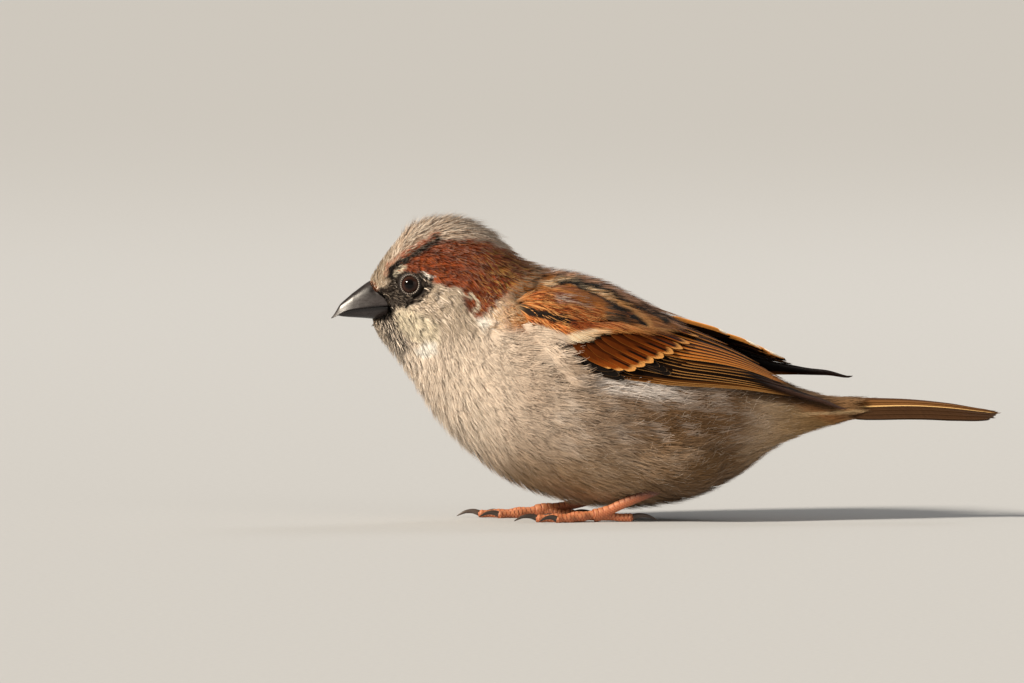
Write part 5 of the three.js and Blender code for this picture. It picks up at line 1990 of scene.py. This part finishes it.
@dataclass
class Eye:
    """One eye: the ball with its cornea and the beaded rim of its lids."""

    side: int
    word: str
    socket: EyeSocket = field(default_factory=EyeSocket)
    forward: float = math.radians(12)  # the eyes look a little ahead
    upward: float = math.radians(4)
    beads: int = 30
    around: int = 64
    rings: int = 60
    rim_steps: int = 240
    rim_around: int = 14

    def axes(self) -> tuple[Array, Array, Array]:
        """The eye's axis and two directions across it.

        Returns:
            The axis, up and sideways, each of length 1.
        """
        axis = np.array([-math.sin(self.forward), self.side * math.cos(self.forward), math.sin(self.upward)])
        axis = unit(axis)
        up = unit(np.array([0, 0, 1.0]) - axis * axis[2])
        return axis, up, np.cross(axis, up)

    def ring(self, radius: Array, height: Array, turn: Array) -> Array:
        """Points round the axis.

        Args:
            radius, height: Distance from the axis and along it, in mm.
            turn: Angle round it.

        Returns:
            The points.
        """
        axis, up, beside = self.axes()
        centre = np.array([self.socket.x, self.side * self.socket.y, self.socket.z])
        return (centre + axis * height[..., None] + up * (radius * np.cos(turn))[..., None]
                + beside * (radius * np.sin(turn))[..., None])

    def build(self, wet: bpy.types.Material, lid: bpy.types.Material) -> None:
        """Makes the ball and the lid.

        Args:
            wet: The ball's material.
            lid: The lid's material.
        """
        size = self.socket.ball_radius
        polar = np.linspace(0.0, math.pi, self.rings)[:, None]
        turn = 2 * np.pi * np.arange(self.around)[None, :] / self.around
        radius = size * np.sin(polar) + 0 * turn
        bulge = 0.1 * np.exp(-(radius / 1.5) ** 2) * (polar < math.pi / 2)
        ball = self.ring(radius, size * np.cos(polar) - 0.05 + bulge, turn + 0 * polar)
        back = 9.0 * (polar > math.pi / 2)  # past every ring, so that the back is plain
        part = MeshPart(ball, grid_quads(self.rings, self.around, closed=True), None, None, {},
                        {"ring": radius + back})
        turn_out(put(f"eyeball_{self.word}", part, wet, [f"eye_{self.word}"]))

        section = np.linspace(0, 2 * math.pi, self.rim_around, endpoint=False)[None, :]
        turn = 2 * np.pi * np.arange(self.rim_steps)[:, None] / self.rim_steps
        bead = 0.5 + 0.5 * np.cos(self.beads * turn)
        opening = self.socket.opening_radius
        tall = 0.17 + 0.05 * bead
        radius = opening + 0.2 + 0.3 * np.maximum(np.cos(section), -0.7) * (1 + 0 * turn)
        radius = radius + 0.9 * (np.cos(section) > 0.75)
        height = math.sqrt(size ** 2 - opening ** 2) - 0.02 + tall * np.sin(section)
        height = height - 0.95 * (np.cos(section) > 0.75) + 0 * turn
        squash = 1 + 0.03 * np.cos(2 * turn)
        rim = self.ring(radius * squash, height, turn + 0 * section)
        pale = bead * (np.sin(section) > 0.2) * (np.cos(section) < 0.6) + 0 * turn
        quads = grid_quads(self.rim_steps + 1, self.rim_around, closed=True)
        part = MeshPart(np.concatenate([rim, rim[:1]]), quads, None, None, {},
                        {"bead": np.concatenate([pale, pale[:1]])})
        turn_out(put(f"eyelid_{self.word}", part, lid))


def tube(path: Array, radii: Callable[[Array], tuple[Array, Array]], rows: int, around: int,
         relief: Callable[[Array, Array], Array], floor: float = 0.0) -> MeshPart:
    """A closed limb along a path, pressed flat where it would go under the ground.

    Args:
        path: Points that it follows, in mm.
        radii: Half width and half depth at shares of its length.
        rows, around: Vertices along and round it.
        relief: Scale of its section at shares of its length and angles (0 is sideways, 90 degrees up).
        floor: Height of the ground.

    Returns:
        The limb.
    """
    dense = through(path, np.linspace(0, len(path) - 1, 400))
    run = np.concatenate([[0], np.cumsum(np.linalg.norm(np.diff(dense, axis=0), axis=1))])
    t = np.linspace(0, 1, rows)
    middle = np.stack([np.interp(t * run[-1], run, dense[:, k]) for k in range(3)], 1)
    way = unit(np.gradient(middle, axis=0))
    beside = unit(np.cross([0, 0, 1.0], way))
    up = np.cross(way, beside)
    wide, deep = radii(t)
    angle = 2 * np.pi * np.arange(around) / around
    scale = relief(t[:, None], angle[None, :])
    points = (middle[:, None] + beside[:, None] * (wide[:, None] * np.cos(angle) * scale)[..., None]
              + up[:, None] * (deep[:, None] * np.sin(angle) * scale)[..., None])
    points[..., 2] = np.maximum(points[..., 2], floor)
    ends = [np.repeat(points[k].mean(0)[None, None], around, 1) for k in (0, -1)]
    points = np.concatenate([ends[0], points, ends[1]])
    mm = np.concatenate([[0], t, [1]]) * run[-1]
    maps = np.stack([np.repeat(mm, around), np.tile(angle, rows + 2)], 1)
    bake = np.stack([maps[:, 0] / run[-1], maps[:, 1] / (2 * np.pi)], 1)
    return MeshPart(points, grid_quads(rows + 2, around, closed=True), None, None,
                    {"limb": maps, "own": bake}, {"plate": scale[[0, *range(rows), -1]]})


@dataclass(frozen=True)
class ScutedSkin:
    """Bird leg skin of overlapping horny plates: orange pink, semi-matt, dark and scuffed in its joints."""

    name: str = "leg_scutes_keratin_grown"
    plate: str = "#b0623c"
    joint: str = "#5f2a18"
    dusty: str = "#d6966c"
    entry_shadow: str = "#4c2a24"  # painted shadow where the leg enters the belly's plumage
    crease_mm: float = 0.42
    grime_mm: float = 1.4
    entry_shadow_from: float = 4.0  # height in mm
    entry_shadow_to: float = 6.4

    def make(self) -> bpy.types.Material:
        """The material: colour by the height of each plate, with fine creases, grime and a painted shadow at
        its top.
        """
        stops = ((0.1, self.joint), (0.55, self.plate), (0.95, self.dusty))
        return make_material(
            self.name, OBJECT_PLACE,
            ("plate", "Attribute", {"attribute_name": "plate"}),
            ("share", "MapRange", {"Value": "plate.Fac", "From Min": 0.86, "From Max": 1.1}),
            ("shades", "ValToRGB", {"Fac": "share", "stops": stops}),
            ("creases", "TexVoronoi", {"Vector": "place.Object", "Scale": 1 / (self.crease_mm * MM)}),
            ("grime", "TexNoise", {"Vector": "place.Object", "Scale": 1 / (self.grime_mm * MM),
                                   "Detail": 5.0}),
            ("value", "MapRange", {"Value": "grime", "To Min": 0.6, "To Max": 1.3}),
            ("tinted", "HueSaturation", {"Value": "value", "Color": "shades"}),
            # painted shadow towards the top, where the leg enters the plumage
            ("height", "SeparateXYZ", {"Vector": "place.Object"}),
            ("upper", "MapRange", {"Value": "height.Z", "From Min": self.entry_shadow_from * MM,
                                   "From Max": self.entry_shadow_to * MM, "To Max": 0.9}),
            ("shaded", "Mix", {"data_type": "RGBA", "Factor": "upper", 6: "tinted", 7: self.entry_shadow}),
            ("dull", "MapRange", {"Value": "grime", "To Min": 0.42, "To Max": 0.7}),
            ("bump", "Bump", {"Height": "creases", "Strength": 0.4, "Distance": 0.1 * MM}),
            ("shader", "BsdfPrincipled", {
                "Base Color": "shaded.2", "Roughness": "dull", "Normal": "bump", "IOR": 1.5,
                "Subsurface Weight": 0.08, "Subsurface Scale": 0.6 * MM}))


@dataclass(frozen=True)
class Toe:
    """Sizes of a toe, in mm, and its heading off the leg's own, in degrees."""

    name: str
    yaw: float
    length: float
    claw: float
    radius: float
    joints: int


TOES = (Toe("middle_toe", 0, 13.6, 4.9, 1.08, 3), Toe("inner_toe", -21, 9.6, 4.3, 0.98, 2),
        Toe("outer_toe", 19, 10.2, 4.2, 0.96, 3), Toe("hind_toe", 180, 7.8, 5.6, 1.1, 1))


def overlapping(phase: Array, step: float, sharpness: float, slope: float) -> Array:
    """The relief of plates that overlap like roof tiles.

    Args:
        phase: Place along the row, counted in plates.
        step: Depth of the joint between two plates.
        sharpness: Its width, as a share of a plate.
        slope: How much each plate falls along its length.

    Returns:
        The scale of the section.
    """
    saw = phase - np.floor(phase)
    return 1.07 - step * np.exp(-(saw / sharpness) ** 2) - slope * saw


@dataclass
class Leg:
    """One leg: the bare tarsus, four toes laid flat and their claws."""

    side: int
    word: str
    ball: tuple[float, float]
    bones: tuple  # offsets from the ball, with heights
    yaw: float
    ball_height: float = 1.75
    ball_radius: float = 1.6
    half_depth: float = 1.1
    half_width: float = 0.9
    pad_flat: float = 0.14
    scute_mm: float = 1.25
    toe_scute_mm: float = 0.95
    claw_rise: float = 1.15

    def heading(self, toe: Toe) -> Array:
        """The direction that a toe points in, on the ground."""
        angle = math.radians(180 - self.side * (self.yaw + toe.yaw))
        return np.array([math.cos(angle), math.sin(angle), 0.0])

    def tarsus(self) -> MeshPart:
        """The shank with a row of broad plates down its front and finer ones behind.

        Returns:
            Its mesh, with the ball of the foot at the origin.
        """
        path = np.array([(-0.9, 0, self.ball_height - 0.35), (1.2, 0, self.ball_height + 0.15), *self.bones])

        def radii(t: Array) -> tuple[Array, Array]:
            """Swollen at the ball and at the ankle.

            Args:
                t: Shares of the limb's length.

            Returns:
                Half width and half depth, in mm.
            """
            swell = np.sin(np.pi / 2 * np.minimum(1, np.maximum(0, 1 - t / 0.2) * 1.1))
            extra = (self.ball_radius - self.half_depth) * swell + 0.4 * ramp(t, 0.82, 1.0)
            return self.half_width * 0.93 + extra, self.half_depth * 0.95 + extra * 0.8

        def relief(t: Array, angle: Array) -> Array:
            """Plates that overlap downwards in front and finer ones behind.

            Args:
                t: Shares of the limb's length.
                angle: Angles round it.

            Returns:
                The scale of the section.
            """
            phase = t * 21 / self.scute_mm + 0.12 * np.cos(angle)
            front = ramp(np.sin(angle), -0.1, 0.5)
            small = 1 + 0.035 * np.cos(2 * np.pi * phase * 2.2) * np.cos(7 * angle)
            return small * (1 - front) + overlapping(phase, 0.19, 0.13, 0.05) * front

        return tube(path, radii, 220, 40, relief)

    def toe(self, toe: Toe) -> MeshPart:
        """A toe with plates above and pads below.

        Args:
            toe: Its sizes.

        Returns:
            Its mesh, with the ball of the foot at the origin.
        """
        way, low = self.heading(toe), toe.radius - self.pad_flat
        stops = ((0.2, self.ball_height - 0.2), (1.0 + toe.length * 0.24, low + 0.35),
                 (1.0 + toe.length * 0.5, low), (1.0 + toe.length * 0.76, low - 0.05),
                 (toe.length + 0.15, low - 0.2))
        path = np.array([way * d + (0, 0, z) for d, z in stops])

        def radii(t: Array) -> tuple[Array, Array]:
            """Slimmer towards the claw, with a swelling at each joint.

            Args:
                t: Shares of the limb's length.

            Returns:
                Half width and half depth, in mm.
            """
            pads = 0.1 * np.cos(2 * np.pi * toe.joints * t)
            slim, end = 1 - 0.22 * t, 1 - 0.3 * ramp(t, 0.94, 1)
            return toe.radius * (slim * 0.9 + pads) * end, toe.radius * (slim + pads) * end

        def relief(t: Array, angle: Array) -> Array:
            """Rings of plates on top, small pads below.

            Args:
                t: Shares of the limb's length.
                angle: Angles round it.

            Returns:
                The scale of the section.
            """
            phase = t * toe.length / self.toe_scute_mm
            upper = ramp(np.sin(angle), -0.25, 0.35)
            pad = 1 + 0.05 * np.cos(2 * np.pi * phase * 1.3) * np.cos(5 * angle)
            return pad * (1 - upper) + overlapping(phase, 0.2, 0.15, 0.06) * upper

        return tube(path, radii, 130, 36, relief)

    def claw(self, toe: Toe) -> MeshPart:
        """A curved, compressed claw that tapers to a point.

        Args:
            toe: The toe that it ends.

        Returns:
            Its mesh, with the ball of the foot at the origin.
        """
        way, low = self.heading(toe), toe.radius - self.pad_flat - 0.2
        start, long = toe.length - 0.35, toe.claw + 0.5
        stops = ((0, low + 0.12), (0.3, low + self.claw_rise * 0.55), (0.62, low + self.claw_rise * 0.45),
                 (0.86, low * 0.55 + 0.3), (1, 0.28))
        path = np.array([way * (start + long * share) + (0, 0, z) for share, z in stops])

        def radii(t: Array) -> tuple[Array, Array]:
            """Deeper than wide."""
            return 0.04 + 0.46 * (1 - t) ** 0.75, 0.05 + 0.68 * (1 - t) ** 0.75

        return tube(path, radii, 40, 24, lambda t, angle: 1 + 0.03 * np.cos(2 * angle) + 0 * t)

    def build(self, scutes: bpy.types.Material, horn: bpy.types.Material) -> None:
        """Makes the leg's pieces and sets them down at their place.

        Args:
            scutes: Material of shank and toes.
            horn: Material of the claws.
        """
        pieces = [("tarsus_scutes", "tarsus", self.tarsus(), scutes, "leg_scutes")]
        for toe in TOES:
            pieces.append((f"{toe.name}_scutes", toe.name, self.toe(toe), scutes, "leg_scutes"))
            pieces.append((f"{toe.name}_claw_horn", f"{toe.name}_claw", self.claw(toe), horn, "claws"))
        for name, node, part, finish, slot in pieces:
            part.points = part.points + (*self.ball, 0.0)
            turn_out(put(f"{name}_{self.word}", part, finish, [f"{node}_{self.word}"]))


# ---- Stage, light and camera ----


@dataclass
class Studio:
    """A pale floor, soft lamps and the camera."""

    aim: tuple[float, float, float] = (-34.0, 0.0, 39.67)
    distance: float = 4080.0  # mm
    elevation: float = 2.0  # degrees
    lens: float = 645.0
    sensor: float = 36.0
    key_from: tuple[float, float, float] = (-0.76, -0.43, 0.5)
    key_strength: float = 5.2
    lit: tuple[float, float, float] = (-10.0, 0.0, 30.0)  # what the lamps face
    floor_half: float = 15000.0

    def stand(self, name: str, data: Any, place: Vector, way: Vector) -> bpy.types.Object:
        """Adds a camera or a lamp to the scene.

        Args:
            name: Its name.
            data: Its data.
            place: Where it stands, in metres.
            way: Which way it looks.

        Returns:
            The object.
        """
        thing = bpy.data.objects.new(name, data)
        thing.location = place
        thing.rotation_mode = "QUATERNION"
        thing.rotation_quaternion = way.to_track_quat("-Z", "Y")
        bpy.context.scene.collection.objects.link(thing)
        return thing

    def camera(self) -> None:
        """Sets the camera level with the bird, looking at its left side."""
        data = bpy.data.cameras.new("camera")
        data.lens, data.sensor_width = self.lens, self.sensor
        data.clip_start, data.clip_end = 0.05, 50.0
        up = math.radians(self.elevation)
        back = Vector((0, -math.cos(up), math.sin(up)))
        place = (Vector(self.aim) + back * self.distance) * MM
        bpy.context.scene.camera = self.stand("camera", data, place, -back)

    def lamp(self, name: str, place: tuple, size: float, power: float, colour: str) -> None:
        """Adds a soft square lamp that faces the bird.

        Args:
            name: Its name.
            place: Where it hangs, in mm.
            size: Its side, in mm.
            power: Watts.
            colour: Hex value of its light.
        """
        data = bpy.data.lights.new(name, "AREA")
        data.shape, data.size, data.energy = "SQUARE", size * MM, power
        data.color = linear(colour)[:3]
        place = Vector(place) * MM
        self.stand(name, data, place, Vector(self.lit) * MM - place)

    def lights(self) -> None:
        """A warm key from high on the left in front, a weak fill, a rim and a pale surround."""
        sun = bpy.data.lights.new("key", "SUN")
        sun.energy, sun.angle, sun.color = self.key_strength, math.radians(9), linear("#fff2df")[:3]
        self.stand("key", sun, Vector(), -Vector(self.key_from))
        self.lamp("fill", (1500, -2200, 900), 1600, 7.0, "#fff4e6")
        self.lamp("rim", (900, 1800, 1800), 900, 8.0, "#ffffff")
        world = bpy.data.worlds.new("surround")
        world.use_nodes = True
        ground = world.node_tree.nodes["Background"]
        ground.inputs["Color"].default_value = linear("#f2ebe2")
        ground.inputs["Strength"].default_value = 0.3
        bpy.context.scene.world = world
        bpy.context.scene.view_settings.view_transform = "Standard"

    def floor(self) -> None:
        """A wide, plain floor, far enough to fill the view from any side."""
        half = self.floor_half * MM
        mesh = bpy.data.meshes.new("floor")
        mesh.from_pydata([(-half, -half, 0), (half, -half, 0), (half, half, 0), (-half, half, 0)], [],
                         [(0, 1, 2, 3)])
        mesh.materials.append(StudioFloor().make())
        floor = bpy.data.objects.new("floor", mesh)
        bpy.context.scene.collection.objects.link(floor)


@dataclass(frozen=True)
class StudioFloor:
    """A studio floor, painted and rolled: matt, with a barely uneven tooth."""

    name: str = "studio_floor_painted"
    tooth_mm: float = 1.5

    def make(self) -> bpy.types.Material:
        """The floor's material."""
        return make_material(
            self.name, OBJECT_PLACE,
            ("tooth", "TexNoise", {"Vector": "place.Object", "Scale": 1 / (self.tooth_mm * MM),
                                   "Detail": 4.0}),
            ("shades", "ValToRGB", {"Fac": "tooth", "stops": ((0.0, "#c3c6ca"), (1.0, "#cdd0d3"))}),
            ("shader", "BsdfPrincipled", {"Base Color": "shades", "Roughness": 0.9,
                                          "Specular IOR Level": 0.15}))


# ---- Putting it together ----

THROAT = BarbStyle(barbs=15, spans=4, fray=0.35, stray=0.07, spike=0.35, overlap=1.5, shade=0.07)
SOFT = BarbStyle(barbs=13, shade=0.08, overlap=1.6)
CHEEK = BarbStyle(barbs=11, fray=0.35, shade=0.08, clump=0.12, overlap=1.6, round_tip=0.4)
FINE = BarbStyle(barbs=15, spans=4, fray=0.3, stray=0.06, overlap=1.5, shade=0.065)
FACE = BarbStyle(barbs=9, spans=3, fray=0.25, stray=0.05, shade=0.14)
SPIKY = BarbStyle(barbs=11, spans=4, fray=0.5, stray=0.05, spike=0.7, shade=0.16, overlap=1.4)
LOOSE = BarbStyle(barbs=4, spans=6, fray=0.4, stray=0.13, shade=0.22, hair=0.12)


def mirrored(name: str, s: tuple[float, float], low: float, *rest: Any, **more: Any) -> list[Tract]:
    """A tract of the left side, from v = low down to the underside, and its mirror image."""
    return [Tract(f"{name}_left", s, (low, 0.5), *rest, **more),
            Tract(f"{name}_right", s, (0.5, 1 - low), *rest, **more)]


TRACTS = [
    Tract("face_plumage", (14.6, 17.0), (0.0, 1.0), "head_plumage", FACE, lift=0.08, sharp=True),
    Tract("crown_plumage", (11.3, 14.6), (-0.17, 0.17), "head_plumage", SPIKY, length=1.55, lift=0.5,
          fringe=0.35, sharp=True),
    *mirrored("cheek_plumage", (11.3, 14.6), 0.17, "head_plumage", CHEEK, lift=0.2, fringe=0.2, sharp=True),
    Tract("nape_plumage", (9.6, 11.3), (-0.22, 0.22), "head_plumage", SOFT, fringe=0.15, sharp=True),
    Tract("throat_plumage", (9.6, 11.3), (0.22, 0.78), "breast_plumage", THROAT, lift=0.25, sharp=True),
    *mirrored("breast_plumage", (6.8, 9.6), 0.14, "breast_plumage", FINE, 0.9, lift=0.1),
    Tract("mantle_plumage", (3.2, 9.6), (-0.14, 0.14), "head_plumage", SOFT, sharp=True),
    *mirrored("flank_plumage", (3.2, 6.8), 0.14, "breast_plumage", FINE, 0.9, lift=0.1),
    Tract("rump_plumage", (0.0, 3.2), (-0.25, 0.25), "breast_plumage", SOFT, sharp=True),
    Tract("undertail_plumage", (0.0, 3.2), (0.25, 0.75), "breast_plumage", FINE, lift=0.1, sharp=True),
    Tract("loose_barbs", (2.0, 10.5), (0.16, 0.84), "breast_plumage", LOOSE, lift=0.6, jitter=0.5, fringe=0.9,
          outward=0.4),
]
FLESH = ("head", "neck", "breast", "trunk", "rump", "thigh_left", "thigh_right")


def main() -> None:
    """Builds the bird piece by piece and sets the stage."""
    logging.basicConfig(level=logging.INFO, format="%(message)s")
    studio = Studio()
    studio.camera()
    studio.lights()
    studio.floor()
    form, markings = BodyForm(), Markings()
    wings = [WingForm(side=LEFT), WingForm(side=RIGHT)]
    coat = Coat(form, markings, tuple(wings))
    covered = CoveredSkin().make()
    coat.skin(covered, FLESH)
    downy = DownyPlumage().make()
    for number, tract in enumerate(TRACTS):
        coat.build(tract, downy, 100 + number)
    for wing, word in zip(wings, ("left", "right")):
        Wing(wing, markings, word, downy, covered, np.random.default_rng(400 + wing.side)).build()
    Tail().build(500)
    Bill().build()
    wet, lid = WetEye().make(), LidSkin().make()
    for side, word in ((LEFT, "left"), (RIGHT, "right")):
        Eye(side, word).build(wet, lid)
    scutes, claws = ScutedSkin().make(), Horn("claw_sheath_keratin_grown", "#2a2320", "#5a4c44", 0.3).make()
    left_bones = ((6.2, -1.0, 4.3), (13.0, -2.1, 7.1), (19.2, -3.0, 9.7))
    right_bones = ((6.4, 0.9, 2.7), (12.4, 1.9, 4.4), (18.8, 3.0, 8.4))
    for leg in (Leg(LEFT, "left", (-15.1, -11.2), left_bones, 8),
                Leg(RIGHT, "right", (-27.8, 10.2), right_bones, 6)):
        leg.build(scutes, claws)


if __name__ == "__main__":
    main()
